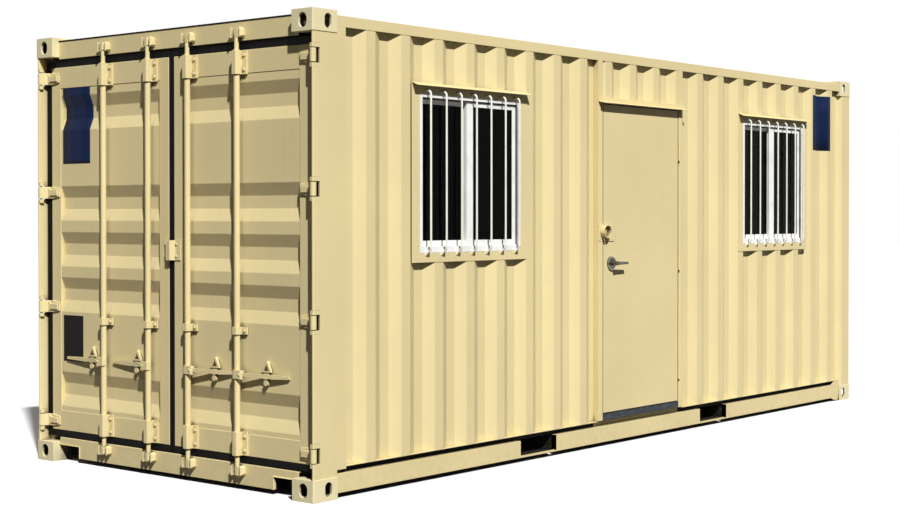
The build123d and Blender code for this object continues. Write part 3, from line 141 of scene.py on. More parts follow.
def add_node(tree, kind, inputs=None, output=0, **settings):
    """Adds one shader node with its settings, and gives back the output of that name or number. An input that
    is a socket is linked, and any other is a value."""
    made = tree.nodes.new("ShaderNode" + kind)
    for name, value in settings.items():
        setattr(made, name, value)
    for name, value in (inputs or {}).items():
        if isinstance(value, bpy.types.NodeSocket):
            tree.links.new(value, made.inputs[name])
        else:
            made.inputs[name].default_value = value
    return made.outputs[output] if made.outputs else None


def per(millimetres):
    """Noise scale whose features are about that size."""
    return 1000.0 / millimetres


def cover(add, tone, colour, amount, *masks):
    """A colour laid over a tone. Each mask is a value, where it leaves the tone bare and where it covers in
    full. Masks multiply each other and the amount."""
    for value, bare, full in masks:
        fade = {"Value": value, "From Min": bare, "From Max": full, "To Max": amount}
        amount = add("MapRange", fade)
    return add("Mix", {0: amount, 6: tone, 7: colour}, 2, data_type="RGBA")


def start_nodes(owner):
    """Clears the nodes of a material or a sky, and gives back what adds one to them."""
    owner.use_nodes = True
    owner.node_tree.nodes.clear()
    return partial(add_node, owner.node_tree)


def start_material(name):
    """An empty material, what adds a node to it and its Object coordinates."""
    made = bpy.data.materials.new(name)
    add = start_nodes(made)
    return made, add, add("TexCoord", output="Object")


def finish_material(made, tone, rough, bumps=(), shine=0.5, more=None):
    """The shader and output. Each bump is a height, a strength and a depth, laid over the one before."""
    add, relief = partial(add_node, made.node_tree), {}
    for height, strength, depth in bumps:
        bump = {"Height": height, "Strength": strength, "Distance": depth}
        relief["Normal"] = add("Bump", {**bump, **relief})
    surface = {"Base Color": tone, "Roughness": rough, "Specular IOR Level": shine, **relief, **(more or {})}
    add("OutputMaterial", {"Surface": add("BsdfPrincipled", surface)})
    return made


# ---------------- materials
ROAD_DUST = linear("#9A8A62")
# Dark colour of the painted shade in corners and on faces turned down.
PAINTED_SHADE = linear("#2E2719")
RUST = linear("#7A4A28")


def marine_paint(name, colour, painted_recess_shade=False):
    """Sprayed alkyd marine enamel on pressed steel: even, half matt, with a fine orange peel, faint clouds
    where the coats differ, thin rain streaks, rust specks and dust low down. Painted shade darkens the
    corners and the faces turned down, and black painted shade covers what lies behind the door sill's front
    plate."""
    made, add, place = start_material(name)
    clouds = add("TexNoise", {"Vector": place, "Scale": per(700), "Detail": 4})
    mottle = add("TexNoise", {"Vector": place, "Scale": per(45), "Detail": 3})
    fall = add("Mapping", {"Vector": place, "Scale": (1.0, 1.0, 0.035)})
    streaks = add("TexNoise", {"Vector": fall, "Scale": per(38), "Detail": 3})
    specks = add("TexNoise", {"Vector": place, "Scale": per(14), "Detail": 5})
    height = add("SeparateXYZ", {"Vector": place}, "Z")
    # Painted shade: ambient occlusion marks the corners and creases to darken.
    corner = add("AmbientOcclusion", {"Distance": 0.07}, "AO", samples=8)
    # Painted shade: the upward part of each face's normal picks out the faces turned down.
    under = add("SeparateXYZ", {"Vector": add("NewGeometry", output="Normal")}, "Z")
    paler, darker = linear(colour, 1.03), linear(colour, 0.96)
    tone = cover(add, darker, paler, 1.0, (clouds, 0.35, 0.65))
    tone = cover(add, tone, darker, 0.25, (mottle, 0.45, 0.7))
    tone = cover(add, tone, ROAD_DUST, 0.1, (streaks, 0.6, 0.8))
    tone = cover(add, tone, ROAD_DUST, 0.16, (height, 0.3, 0.0), (mottle, 0.4, 0.8))
    # Painted shade in corners and creases, where the occlusion is deep.
    tone = cover(add, tone, PAINTED_SHADE, 0.85, (corner, 0.55, 0.2))
    # Painted shade on faces turned down.
    tone = cover(add, tone, PAINTED_SHADE, 0.75, (under, -0.7, -0.95))
    tone = cover(add, tone, RUST, 0.25, (specks, 0.70, 0.76), (clouds, 0.5, 0.66))
    # Painted shade: black on the door sill's faces that lie deeper than its front plate and low in its
    # recesses.
    if painted_recess_shade:
        inward = add("SeparateXYZ", {"Vector": place}, "X")
        behind = (inward, END + 62 * MM, END + 68 * MM), (height, 116 * MM, 110 * MM)
        tone = cover(add, tone, linear("#0E0C0A"), 1.0, *behind)
    peel = add("TexNoise", {"Vector": place, "Scale": per(5), "Detail": 2})
    wave = add("TexNoise", {"Vector": place, "Scale": per(260), "Detail": 1})
    rough = add("MapRange", {"Value": mottle, "To Min": 0.42, "To Max": 0.58})
    bumps = (wave, 0.25, 3 * MM), (peel, 0.12, 0.4 * MM)
    return finish_material(made, tone, rough, bumps, 0.2)


def cast_paint(name, colour):
    """Thick paint over sand-cast steel: the grain of the mould shows as a coarse pitted bump, with worn edges
    where twist locks and hooks have rubbed, and painted shade that darkens the hollows."""
    made, add, place = start_material(name)
    grain = add("TexNoise", {"Vector": place, "Scale": per(9), "Detail": 5, "Roughness": 0.65})
    clouds = add("TexNoise", {"Vector": place, "Scale": per(120), "Detail": 3})
    # Painted shade: ambient occlusion finds the hollows.
    hollow_shade = add("AmbientOcclusion", {"Distance": 0.16}, "AO", samples=8)
    tone = cover(add, linear(colour, 0.93), linear(colour), 1.0, (grain, 0.35, 0.6))
    tone = cover(add, tone, linear("#8A7550"), 0.35, (clouds, 0.56, 0.72), (grain, 0.5, 0.62))
    # Painted shade: near black inside the hollows, where the occlusion is deep.
    tone = cover(add, tone, linear("#120F0B"), 1.0, (hollow_shade, 0.42, 0.26))
    return finish_material(made, tone, 0.6, [(grain, 0.35, 1.2 * MM)], 0.3)


def bitumen(name):
    """Brushed bitumen underbody coating: black, thick and uneven, with road dust on it."""
    made, add, place = start_material(name)
    brush = add("TexNoise", {"Vector": place, "Scale": per(18), "Detail": 4})
    tone = cover(add, linear("#17150F"), linear("#4B4336"), 1.0, (brush, 0.5, 0.75))
    return finish_material(made, tone, 0.75, [(brush, 0.5, 2 * MM)], 0.2)


def plywood(name):
    """Hardwood container plywood, 28 mm thick: rotary-cut veneer with long cathedral grain, laid crosswise in
    sheets 1.16 m wide with dark butt joints, oiled and scuffed."""
    made, add, place = start_material(name)
    long = add("Mapping", {"Vector": place, "Scale": (1.0, 0.08, 1.0)})
    grain = add("TexNoise", {"Vector": long, "Scale": per(16), "Detail": 6, "Distortion": 1.2})
    pores = add("TexNoise", {"Vector": long, "Scale": per(2.5), "Detail": 2})
    along = add("SeparateXYZ", {"Vector": place}, "X")
    sheet = add("Math", {0: along, 1: 1.16}, operation="PINGPONG")
    tone = cover(add, linear("#6B4526"), linear("#A9794A"), 1.0, (grain, 0.3, 0.7))
    tone = cover(add, tone, linear("#3E2814"), 0.35, (pores, 0.5, 0.7))
    tone = cover(add, tone, linear("#1C120A"), 1.0, (sheet, 4 * MM, 2 * MM))
    return finish_material(made, tone, 0.55, [(pores, 0.3, 0.5 * MM)])


def seal_rubber(name):
    """Extruded EPDM door seal: near black, matt, with a faint bloom and a fine grain."""
    made, add, place = start_material(name)
    bloom = add("TexNoise", {"Vector": place, "Scale": per(60), "Detail": 4})
    grain = add("TexNoise", {"Vector": place, "Scale": per(3), "Detail": 2})
    tone = cover(add, linear("#060606"), linear("#121110"), 1.0, (bloom, 0.4, 0.75))
    return finish_material(made, tone, 0.8, [(grain, 0.2, 0.4 * MM)], 0.12)


def powder_coat(name, colour, rough):
    """White polyester powder coat on aluminium or mild steel: satin, with a fine pebble and slight dust."""
    made, add, place = start_material(name)
    pebble = add("TexNoise", {"Vector": place, "Scale": per(3), "Detail": 2})
    dust = add("TexNoise", {"Vector": place, "Scale": per(90), "Detail": 4})
    tone = cover(add, linear(colour), linear(colour, 0.86), 1.0, (dust, 0.45, 0.75))
    return finish_material(made, tone, rough, [(pebble, 0.12, 0.3 * MM)])


def float_glass(name):
    """Tinted float glass, clean and flat, with a trace of dust: it shows the dark cabin behind it. Its IOR is
    kept under that of plain glass, so that it mirrors the pale sky no more than a window in daylight mirrors
    a dark yard."""
    made, add, place = start_material(name)
    dust = add("TexNoise", {"Vector": place, "Scale": per(140), "Detail": 5})
    tone = cover(add, linear("#39403D"), linear("#454C48"), 1.0, (dust, 0.4, 0.8))
    rough = add("MapRange", {"Value": dust, "To Min": 0.0, "To Max": 0.03})
    return finish_material(made, tone, rough, more={"IOR": 1.1, "Transmission Weight": 1.0})


def satin_stainless(name, colour, rough):
    """Stainless steel finished with a fine belt along its length: satin, streaked, darker where touched."""
    made, add, place = start_material(name)
    belt = add("Mapping", {"Vector": place, "Scale": (0.05, 1.0, 1.0)})
    lines = add("TexNoise", {"Vector": belt, "Scale": per(1.2), "Detail": 2})
    touch = add("TexNoise", {"Vector": place, "Scale": per(40), "Detail": 3})
    tone = cover(add, linear(colour), linear(colour, 0.7), 1.0, (touch, 0.4, 0.7))
    spread = add("MapRange", {"Value": lines, "To Min": rough - 0.08, "To Max": rough + 0.1})
    return finish_material(made, tone, spread, [(lines, 0.1, 0.2 * MM)], more={"Metallic": 1.0})


def worn_plate(name, colour, worn, rough, shine):
    """Brushed-on dark enamel or vinyl over sheet steel, dulled where feet and weather reach it."""
    made, add, place = start_material(name)
    long = add("Mapping", {"Vector": place, "Scale": (0.25, 1.0, 1.0)})
    scuff = add("TexNoise", {"Vector": long, "Scale": per(12), "Detail": 6})
    tone = cover(add, linear(colour), linear(worn), 1.0, (scuff, 0.5, 0.7))
    return finish_material(made, tone, rough, [(scuff, 0.2, 0.5 * MM)], shine)


BEIGE = "#E0CF9C"
FINISHES = {
    "painted_steel": marine_paint("beige_marine_enamel", BEIGE),
    # The door sill's paint, with black painted shade behind its front plate.
    "sill_with_painted_recess_shade": marine_paint("beige_enamel_with_painted_recess_shade", BEIGE, True),
    "casting": cast_paint("beige_enamel_on_cast_steel", "#E8DBAF"),
    "underframe_steel": bitumen("black_bitumen"),
    "plywood": plywood("oiled_plywood"),
    "seal_rubber": seal_rubber("black_epdm"),
    "white_aluminium": powder_coat("white_powder_coat", "#F2F2EE", 0.35),
    "bar_steel": powder_coat("cream_powder_coat", "#EFECE0", 0.4),
    "window_glass": float_glass("tinted_float_glass"),
    "threshold_metal": worn_plate("dark_threshold_enamel", "#20242B", "#3A4048", 0.55, 0.3),
    "dark_stainless": satin_stainless("dark_satin_stainless", "#6E6A62", 0.34),
    "dark_plate": worn_plate("dark_plate_enamel", "#131011", "#1D1A1A", 0.6, 0.08),
    "navy_vinyl": worn_plate("navy_cast_vinyl", "#081838", "#0E2046", 0.55, 0.1),
    # A paler copy of the satin stainless: painted highlight on the rose's rim and the key plug.
    "stainless_painted_highlight": satin_stainless("satin_stainless_painted_highlight", "#B5B2AA", 0.25),
}
SLOTS = {entry["node"]: entry["material_slot"] for entry in frame["record"]["subparts"]}


def dress_nodes():
    """Gives every CAD node the finish of its material slot."""
    for name, node in frame["nodes"].items():
        node.data.materials.clear()
        # The door sill takes the paint with black painted shade in its recesses.
        node.data.materials.append(FINISHES["sill_with_painted_recess_shade" if name == "door_sill" else SLOTS[name]])


# ---------------- mesh building
def make(name, parts, finish, body, sharp, slot=None):
    """One object from (points, faces) parts, where faces are index arrays of three, four or more corners.
    Edges that turn by more than sharp degrees stay sharp. The slot argument is not used."""
    slot = slot or finish
    points, corners, starts = [], [], []
    offset, loops = 0, 0
    for part_points, part_faces in parts:
        points.append(np.asarray(part_points, float).reshape(-1, 3))
        for faces in part_faces:
            rows, width = faces.shape
            corners.append((faces + offset).ravel())
            starts.append(loops + np.arange(rows) * width)
            loops += rows * width
        offset += len(points[-1])
    mesh = bpy.data.meshes.new(name)
    points = np.concatenate(points)
    mesh.vertices.add(len(points))
    mesh.vertices.foreach_set("co", points.ravel())
    mesh.loops.add(loops)
    mesh.loops.foreach_set("vertex_index", np.concatenate(corners))
    starts = np.concatenate(starts)
    mesh.polygons.add(len(starts))
    mesh.polygons.foreach_set("loop_start", starts)
    mesh.polygons.foreach_set("use_smooth", np.ones(len(starts), bool))
    mesh.update(calc_edges=True)
    mesh.validate()
    mesh.set_sharp_from_angle(angle=math.radians(sharp))
    mesh.materials.append(FINISHES[finish])
    piece = bpy.data.objects.new(name, mesh)
    bpy.context.collection.objects.link(piece)
    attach(piece, body)
    return piece


def round_edges(piece, width, steps, angle):
    """Rounds each edge that turns by more than angle degrees."""
    edge = piece.modifiers.new("edges", "BEVEL")
    edge.width = width
    edge.segments = steps
    edge.limit_method = "ANGLE"
    edge.angle_limit = math.radians(angle)
    edge.harden_normals = True


def give_thickness(piece, depth):
    """Thickens an open sheet behind its faces."""
    solid = piece.modifiers.new("thickness", "SOLIDIFY")
    solid.thickness = depth
    solid.offset = -1


def grid_faces(rows, columns, close_rows=False, close_columns=False):
    """Quads between neighbouring points of a grid of rows by columns, wrapped where it closes."""
    a = np.arange(rows if close_rows else rows - 1)
    b = np.arange(columns if close_columns else columns - 1)
    i, j = np.meshgrid(a, b, indexing="ij")
    k, m = (i + 1) % rows, (j + 1) % columns
    corners = [i * columns + j, k * columns + j, k * columns + m, i * columns + m]
    return np.stack(corners, -1).reshape(-1, 4)


def tube(points, closed=False):
    """Points in rows that run round a tube, with its faces. Its ends are closed, unless it joins itself."""
    rows, columns = points.shape[:2]
    ring = np.arange(columns)
    ends = [] if closed else [ring[None], (ring[::-1] + (rows - 1) * columns)[None]]
    return points, [grid_faces(rows, columns, closed, True), *ends]


def unit(vectors):
    """Each vector divided by its length."""
    return vectors / np.linalg.norm(vectors, axis=-1, keepdims=True)


def sweep(profile, path, across, closed=False):
    """A closed profile carried along a path: point = path + u * across + v * (across x tangent), where (u, v)
    runs round the profile. At each inner point the section lies in the plane that halves the turn."""
    profile, path, across = (np.asarray(places, float) for places in (profile, path, across))
    if closed:
        ahead = np.roll(path, -1, 0) - path
        behind = path - np.roll(path, 1, 0)
    else:
        step = np.diff(path, axis=0)
        ahead = np.vstack([step, step[-1:]])
        behind = np.vstack([step[:1], step])
    ahead, behind = unit(ahead), unit(behind)
    tangent = unit(ahead + behind)
    stretch = 1 / np.clip(np.sum(tangent * ahead, 1), 0.3, 1)
    lift = unit(np.cross(across, tangent)) * stretch[:, None]
    return tube(path[:, None] + profile[:, :1] * across + profile[:, 1:] * lift[:, None], closed)


def rectangle(left, right, foot, head):
    """The corners of a rectangle, counter-clockwise."""
    return np.array([(left, foot), (right, foot), (right, head), (left, head)])


def circle(radius, sides):
    """Points of a circle, counter-clockwise."""
    angle = np.arange(sides) * TAU / sides
    return np.stack([radius * np.cos(angle), radius * np.sin(angle)], 1)


def rounded(points, radius, steps=5):
    """An open path whose inner corners are arcs, each running between the corner's two tangent points."""
    points = [np.asarray(p, float) for p in points]
    out = [points[0][None]]
    for before, corner, after in zip(points, points[1:], points[2:]):
        a, b = unit(before - corner), unit(after - corner)
        half = math.acos(float(np.clip(a @ b, -1, 1))) / 2
        reach = radius / math.tan(half)
        centre = corner + unit(a + b) * radius / math.sin(half)
        start, stop = corner + a * reach - centre, corner + b * reach - centre
        t = np.linspace(0, 1, steps + 1)[:, None]
        turn = math.pi - 2 * half
        arc = (np.sin((1 - t) * turn) * start + np.sin(t * turn) * stop) / math.sin(turn)
        out.append(centre + arc)
    out.append(points[-1][None])
    return np.concatenate(out)


def revolve(profile, centre, axis, sides, hexagon=False):
    """A profile of (radius, height) turned about an axis through centre; a hexagon's radius at angle a is
    divided by the cosine of the angle to the middle of its flat."""
    profile, centre, axis = (np.asarray(places, float) for places in (profile, centre, axis))
    axis = unit(axis)
    u = unit(np.cross(axis, (1, 0, 0) if abs(axis[0]) < 0.9 else (0, 1, 0)))
    v = np.cross(axis, u)
    angle = np.arange(sides) * TAU / sides
    grow = 1 / np.cos((angle + 1e-9) % (TAU / 6) - TAU / 12) if hexagon else np.ones(sides)
    ring = (np.cos(angle) * grow)[:, None] * u + (np.sin(angle) * grow)[:, None] * v
    points, faces = tube(centre + profile[:, None, :1] * ring + profile[:, None, 1:] * axis)
    return points, [face[:, ::-1] for face in faces]


def hex_bolt(centre, axis, width, height):
    """Hexagon bolt head with its washer: width across its flats, with a chamfered top edge."""
    r = width / 2
    washer = revolve([(r * 1.45, 0), (r * 1.45, height * 0.22), (r * 1.3, height * 0.28)], centre, axis, 18)
    head = revolve([(r, height * 0.2), (r, height * 0.88), (r * 0.85, height)], centre, axis, 12, True)
    return [washer, head]


def dome_rivet(centre, axis, radius, height):
    """Dome-headed rivet: the height at radius r is the cap of a sphere."""
    t = np.linspace(0, math.pi / 2, 6)
    profile = np.stack([radius * np.cos(t), height * np.sin(t)], 1)[:-1]
    return revolve(np.vstack([[(radius, -0.5 * MM)], profile, [(radius * 0.12, height)]]), centre, axis, 14)


def weld_bead(start, stop, normal, width):
    """Fillet weld: a flattened tube along a line, whose radius swells and sinks once in every two widths of
    run and again in a longer wave."""
    normal = np.asarray(normal, float)
    length = np.linalg.norm(stop - start)
    pitch = width * 2
    rows, sides = max(4, int(length / pitch * 3)), 7
    t = np.linspace(0, 1, rows)
    path = start + t[:, None] * (stop - start)
    across = np.cross(unit(stop - start), normal)
    run = TAU * t * length / pitch
    swell = 1 + 0.18 * np.sin(run) + 0.1 * np.sin(run / 4.7)
    angle = np.arange(sides)[:, None] * TAU / sides
    ring = width / 2 * (np.cos(angle) * across + 0.7 * np.sin(angle) * normal)
    return tube(path[:, None] + ring * swell[:, None, None])


def block(x0, x1, y0, y1, z0, z1):
    """A rectangle of x and z carried straight along y."""
    return sweep(rectangle(0, x1 - x0, 0, z1 - z0), [(x0, y0, z0), (x0, y1, z0)], (1, 0, 0))


def ring_path(across, heights, depth, at_end=False):
    """The four corners of an upright rectangle, in the side's plane at that depth or in the end's."""
    corners = rectangle(*across, *heights)
    return [(depth, u, z) if at_end else (u, depth, z) for u, z in corners]


# ---------------- window bars
BAR_RADIUS = 6 * MM
BAR_STAND = 33 * MM              # middle of a bar from the side plane
BAR_PITCH = 133 * MM
BAR_COUNT = 7
BAR_TOP = 2215 * MM              # where a bar bends back to the wall
BAR_BOTTOM = 1317 * MM
BAR_HEAD = BAR_TOP - 7 * MM      # where it meets the surround
BAR_FOOT = BAR_BOTTOM - 34 * MM
BAR_BEND = 24 * MM


def window_bars(number, centre):
    """Seven round bars in front of a window, each bent back to the surround at both ends and welded to it."""
    bars, welds = [], []
    wall, front = WINDOW_FLANGE - 1 * MM, SIDE - BAR_STAND
    fillet = [(BAR_RADIUS * 1.7, 0), (BAR_RADIUS * 1.45, 2.5 * MM), (BAR_RADIUS * 1.05, 5 * MM)]
    for k in range(BAR_COUNT):
        x = centre + (k - (BAR_COUNT - 1) / 2) * BAR_PITCH
        corners = [(x, wall, BAR_FOOT), (x, front, BAR_BOTTOM), (x, front, BAR_TOP), (x, wall, BAR_HEAD)]
        bars.append(sweep(circle(BAR_RADIUS, 12), rounded(corners, BAR_BEND), (1, 0, 0)))
        for z in (BAR_FOOT, BAR_HEAD):
            welds.append(revolve(fillet, (x, WINDOW_FLANGE, z), OUT_OF_SIDE, 14))
    make("window_bars_%d" % number, bars, "bar_steel", "cabin", 50, "white_aluminium")
    make("window_bar_welds_%d" % number, welds, "painted_steel", "cabin", 50)


# ---------------- CAD nodes with rounded edges
CRANK = 20 * MM                  # how far a lock handle's arm is set back past its hub
TIP_LIFT = 4 * MM                # how much less at the arm's far end
HANDLE_MIDDLE = 637 * MM         # height of the handles
HUB_END = 58 * MM                # from the rod's middle
KNOB_DROP = 36 * MM              # a knob's middle under the handles' middle
KNOB_REACH = 17 * MM             # up and down from a knob's middle
MEETING = 0.02 * MM              # points closer than this are one
SHARP = 35                       # an edge that turns by more degrees than this is rounded


def cut_at_hub(body, side, rod_y):
    """An edge loop across a lock handle where its hub ends, so that the hub keeps its shape."""
    whole = body.verts[:] + body.edges[:] + body.faces[:]
    cut = (0, side * (rod_y * MM + HUB_END), 0)
    bmesh.ops.bisect_plane(body, geom=whole, dist=MEETING / 2, plane_co=cut, plane_no=(0, 1, 0))


def bend_arm(places, side, rod_y):
    """A lock handle's arm set back: x = its own + CRANK past the hub, less TIP_LIFT at the tip."""
    out = side * places[:, 1] - rod_y * MM
    arm = (out > HUB_END + 1 * MM) & (np.abs(places[:, 2] - HANDLE_MIDDLE) < HUB_END)
    places[:, 0] += arm * np.where(out < 4 * HUB_END, CRANK, CRANK - TIP_LIFT)


def shorten_knobs(places):
    """The knobs under the handles cut back as far as the arms: their outer ends' x = its own + CRANK."""
    outer = places[:, 0] < END + 30 * MM
    knob = outer & (np.abs(places[:, 2] - HANDLE_MIDDLE + KNOB_DROP) < KNOB_REACH)
    places[:, 0] += knob * CRANK


def move_vertices(mesh, moves):
    """Each move works on the mesh's vertices as one array of x, y and z rows."""
    places = np.empty(len(mesh.vertices) * 3, np.float32)
    mesh.vertices.foreach_get("co", places)
    places = places.reshape(-1, 3)
    for move, values in moves:
        move(places, *values)
    mesh.vertices.foreach_set("co", places.ravel())
    mesh.update()


def soften(node, width):
    """A copy of a CAD node with its flat facets merged and its edges rounded, shown in the node's place."""
    source = frame["nodes"][node]
    mesh = source.data.copy()
    mesh.transform(source.matrix_world)
    for name in ("custom_normal", "sharp_edge", "sharp_face"):
        if name in mesh.attributes:
            mesh.attributes.remove(mesh.attributes[name])
    body = bmesh.new()
    body.from_mesh(mesh)
    bmesh.ops.remove_doubles(body, verts=body.verts, dist=MEETING)
    bmesh.ops.dissolve_limit(body, angle_limit=math.radians(0.5), verts=body.verts, edges=body.edges)
    moves = [(shorten_knobs, ())] if node.endswith("leaf_fittings") else []
    for side, rod_y, leaf, place in RODS:
        if node == "%s_lock_rod_%s" % (leaf, place):
            cut_at_hub(body, side, rod_y)
            moves.append((bend_arm, (side, rod_y)))
    bmesh.ops.recalc_face_normals(body, faces=body.faces)
    body.to_mesh(mesh)
    body.free()
    move_vertices(mesh, moves)
    mesh.polygons.foreach_set("use_smooth", np.ones(len(mesh.polygons), bool))
    mesh.set_sharp_from_angle(angle=math.radians(SHARP))
    piece = bpy.data.objects.new("rounded_" + node, mesh)
    bpy.context.collection.objects.link(piece)
    round_edges(piece, width * MM, 2, SHARP)
    merge = piece.modifiers.new("meeting_corners", "WELD")
    merge.merge_threshold = MEETING
    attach(piece, body_of(source)[0])
    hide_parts(node)


# How wide each node's edges are rounded, in mm.
EDGES = {
    "bottom_corner_castings": 7, "top_corner_castings": 7, "door_end_posts": 1.6, "blind_end_posts": 2,
    "door_header": 3, "door_sill": 2.5, "blind_end_rails": 3, "top_side_rails": 3, "bottom_side_rails": 1.8,
    "rail_end_gussets": 1.5, "left_leaf_frame": 3, "right_leaf_frame": 3, "left_leaf_gasket": 2,
    "right_leaf_gasket": 2, "left_leaf_hinges": 2.2, "right_leaf_hinges": 2.2, "left_leaf_fittings": 1.6,
    "right_leaf_fittings": 1.6, "left_lock_rod_outer": 2, "left_lock_rod_inner": 2,
    "right_lock_rod_inner": 2, "right_lock_rod_outer": 2, "cam_keepers": 2.5, "hinge_lugs": 1.5,
    "window_surrounds": 1, "window_frames": 1.5, "window_sashes": 2, "entry_posts": 1.4, "entry_head": 1.4,
    "drip_cap": 1, "entry_threshold": 2, "entry_slab": 2, "lever_roses": 2.5, "lever_set": 2.5,
    "entry_hinge_jambs": 0.8, "entry_hinge_leaves": 0.8,
}


# ---------------- pressed sheets
SHEET = 2 * MM
BEND = 14 * MM                   # radius of the pressed steel's bends
FOOT = 4 * MM                    # bar that closes the bends at a wall's foot
SLEEVE_GAP = 6.3 * MM            # from a window's frame to the opening cut for its sleeve

# A wall's bends: where a crest lies, the crest's and the hollow's widths, the slope between, the depth.
SIDE_PRESSING = (END + 718 * MM, 72 * MM, 70 * MM, 68 * MM, 36 * MM)
END_PRESSING = (0.0, 110 * MM, 104 * MM, 18 * MM, 45 * MM)
TROUGH_FLAT, TROUGH_SLOPE, TROUGH_DEPTH = 70 * MM, 70 * MM, 26 * MM
TROUGHS = np.array([443.0, 1022.0, 1299.0, 1579.0, 2129.0]) * MM     # heights of their middles
RIB_PITCH, RIB_HALF, RIB_CLIMB = 209 * MM, 60 * MM, 24 * MM
RIB_END = 95 * MM                # from the side plane to a roof rib's end


def corrugation(start, stop, crest, flat_out, flat_in, slope, depth):
    """Bends of a trapezoid pressing between start and stop: rows of distance and depth below the crests."""
    pitch = flat_out + flat_in + 2 * slope
    k = np.arange(math.floor((start - crest) / pitch) - 1, math.ceil((stop - crest) / pitch) + 2)
    half = flat_out / 2
    places = crest + k[:, None] * pitch + np.array([-half - slope, -half, half, half + slope])
    depths = np.broadcast_to([depth, 0, 0, depth], places.shape)
    places, depths = places.ravel(), depths.ravel()
    inside = (places > start) & (places < stop)
    ends = np.interp([start, stop], places, depths)
    return np.stack([np.r_[start, places[inside], stop], np.r_[ends[0], depths[inside], ends[1]]], 1)


def thicken(piece):
    """Gives a pressed sheet its thickness, with its cut edges broken so that they shade apart."""
    give_thickness(piece, SHEET)
    round_edges(piece, 0.3 * MM, 1, 60)


def guarded(line, reach):
    """The same path with a point near both ends of each long stretch, so that its shading stays flat."""
    step = np.diff(line, axis=0)
    long = np.linalg.norm(step, axis=1) > 8 * reach
    inset = unit(step[long]) * reach
    ahead, behind = line[:-1][long] + inset, line[1:][long] - inset
    place = np.nonzero(long)[0]
    order = np.concatenate([np.arange(len(line)), place + 0.3, place + 0.6])
    return np.vstack([line, ahead, behind])[np.argsort(order)]


def pressed_sheet(node, line, place, levels, hole=None, radius=BEND, flip=False):
    """A sheet in a CAD node's place. Its section is a line of rounded bends, carried straight through the
    levels and given its thickness afterwards. place turns (distance, depth, level) into points. Faces inside
    hole = (start, stop, foot, head) are left out."""
    line = guarded(rounded(line, radius, 4), 1.2 * MM)
    if hole:
        cuts = np.array(hole[:2])
        line = np.vstack([line, np.stack([cuts, np.interp(cuts, line[:, 0], line[:, 1])], 1)])
        line = line[np.argsort(line[:, 0])]
        levels = sorted([*levels, *hole[2:]])
    levels = np.asarray(levels, float)
    distance, level = np.meshgrid(line[:, 0], levels, indexing="ij")
    depth = np.broadcast_to(line[:, 1:], distance.shape)
    points = np.stack(np.broadcast_arrays(*place(distance, depth, level)), -1).reshape(-1, 3)
    faces = grid_faces(len(line), len(levels))
    if hole:
        a = distance.ravel()[faces].mean(1)
        c = level.ravel()[faces].mean(1)
        faces = faces[~((a > hole[0]) & (a < hole[1]) & (c > hole[2]) & (c < hole[3]))]
    body = body_of(frame["nodes"][node])[0]
    piece = make("pressed_" + node, [(points, [faces[:, ::-1] if flip else faces])], SLOTS[node], body, 40)
    thicken(piece)
    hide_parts(node)


def side_walls():
    """The corrugated sheets of both long sides, the windowed one in three lengths. Each but the one over the
    door stands on a flat foot bar, with a black strip of painted shade on the rail behind the bar, in its
    shade."""
    half = WINDOW_HALF + SLEEVE_GAP
    holes = {node: (centre - half, centre + half, WINDOW_MIDDLE - half, WINDOW_MIDDLE + half)
             for node, centre in zip(("cabin_wall_left", "cabin_wall_right"), WINDOWS)}
    bar = np.array([(0, 0), (38, 0), (38, 4), (1, 4), (0, 3)]) * MM
    # Painted shade: a black strip on the rail behind the foot bar, where the bar shades it.
    seal = rectangle(36.5, 38.2, -31, -1) * MM
    feet, black_strips = [], []
    for node in ("cabin_wall_left", "cabin_wall_right", "cabin_wall_over_door", "plain_side_wall"):
        a, b = low(node), high(node)
        inward = -1 if node == "plain_side_wall" else 1
        outer = inward * OUTER_FLAT
        foot = 0 if node == "cabin_wall_over_door" else FOOT
        line = corrugation(a[0], b[0], *SIDE_PRESSING)
        pressed_sheet(node, line, lambda d, e, z: (d, outer + inward * e, z), (a[2] + foot, b[2]),
                      holes.get(node), flip=inward < 0)
        if foot:
            path = [(b[0], outer, a[2]), (a[0], outer, a[2])]
            for profile, pieces in ((bar, feet), (seal, black_strips)):
                pieces.append(sweep((profile * (inward, 1))[::inward], path, (0, 1, 0)))
    make("wall_feet", feet, "painted_steel", "cabin", 30)
    make("foot_painted_shade_strip", black_strips, "seal_rubber", "cabin", 30)


def blind_end_sheet():
    """The corrugated sheet of the blind end."""
    a, b = low("blind_end_wall"), high("blind_end_wall")
    line = corrugation(a[1], b[1], *END_PRESSING)
    pressed_sheet("blind_end_wall", line, lambda d, e, z: (b[0] - e, d, z), (a[2], b[2]), radius=9 * MM)


def trough_line(foot, head):
    """Bends of a cargo leaf's panel from its foot to its head: rows of height and depth."""
    half = TROUGH_FLAT / 2
    bends = TROUGHS[:, None] + np.array([-half - TROUGH_SLOPE, -half, half, half + TROUGH_SLOPE])
    depths = np.broadcast_to([0, TROUGH_DEPTH, TROUGH_DEPTH, 0], bends.shape)
    return np.stack([np.r_[foot, bends.ravel(), head], np.r_[0, depths.ravel(), 0]], 1)


def leaf_sheets():
    """The cargo leaves' panels, each with five troughs pressed towards the inside."""
    for node in ("left_leaf_panel", "right_leaf_panel"):
        a, b = low(node), high(node)
        line = trough_line(a[2], b[2])
        pressed_sheet(node, line, lambda d, e, y: (a[0] + e, y, d), (a[1], b[1]))


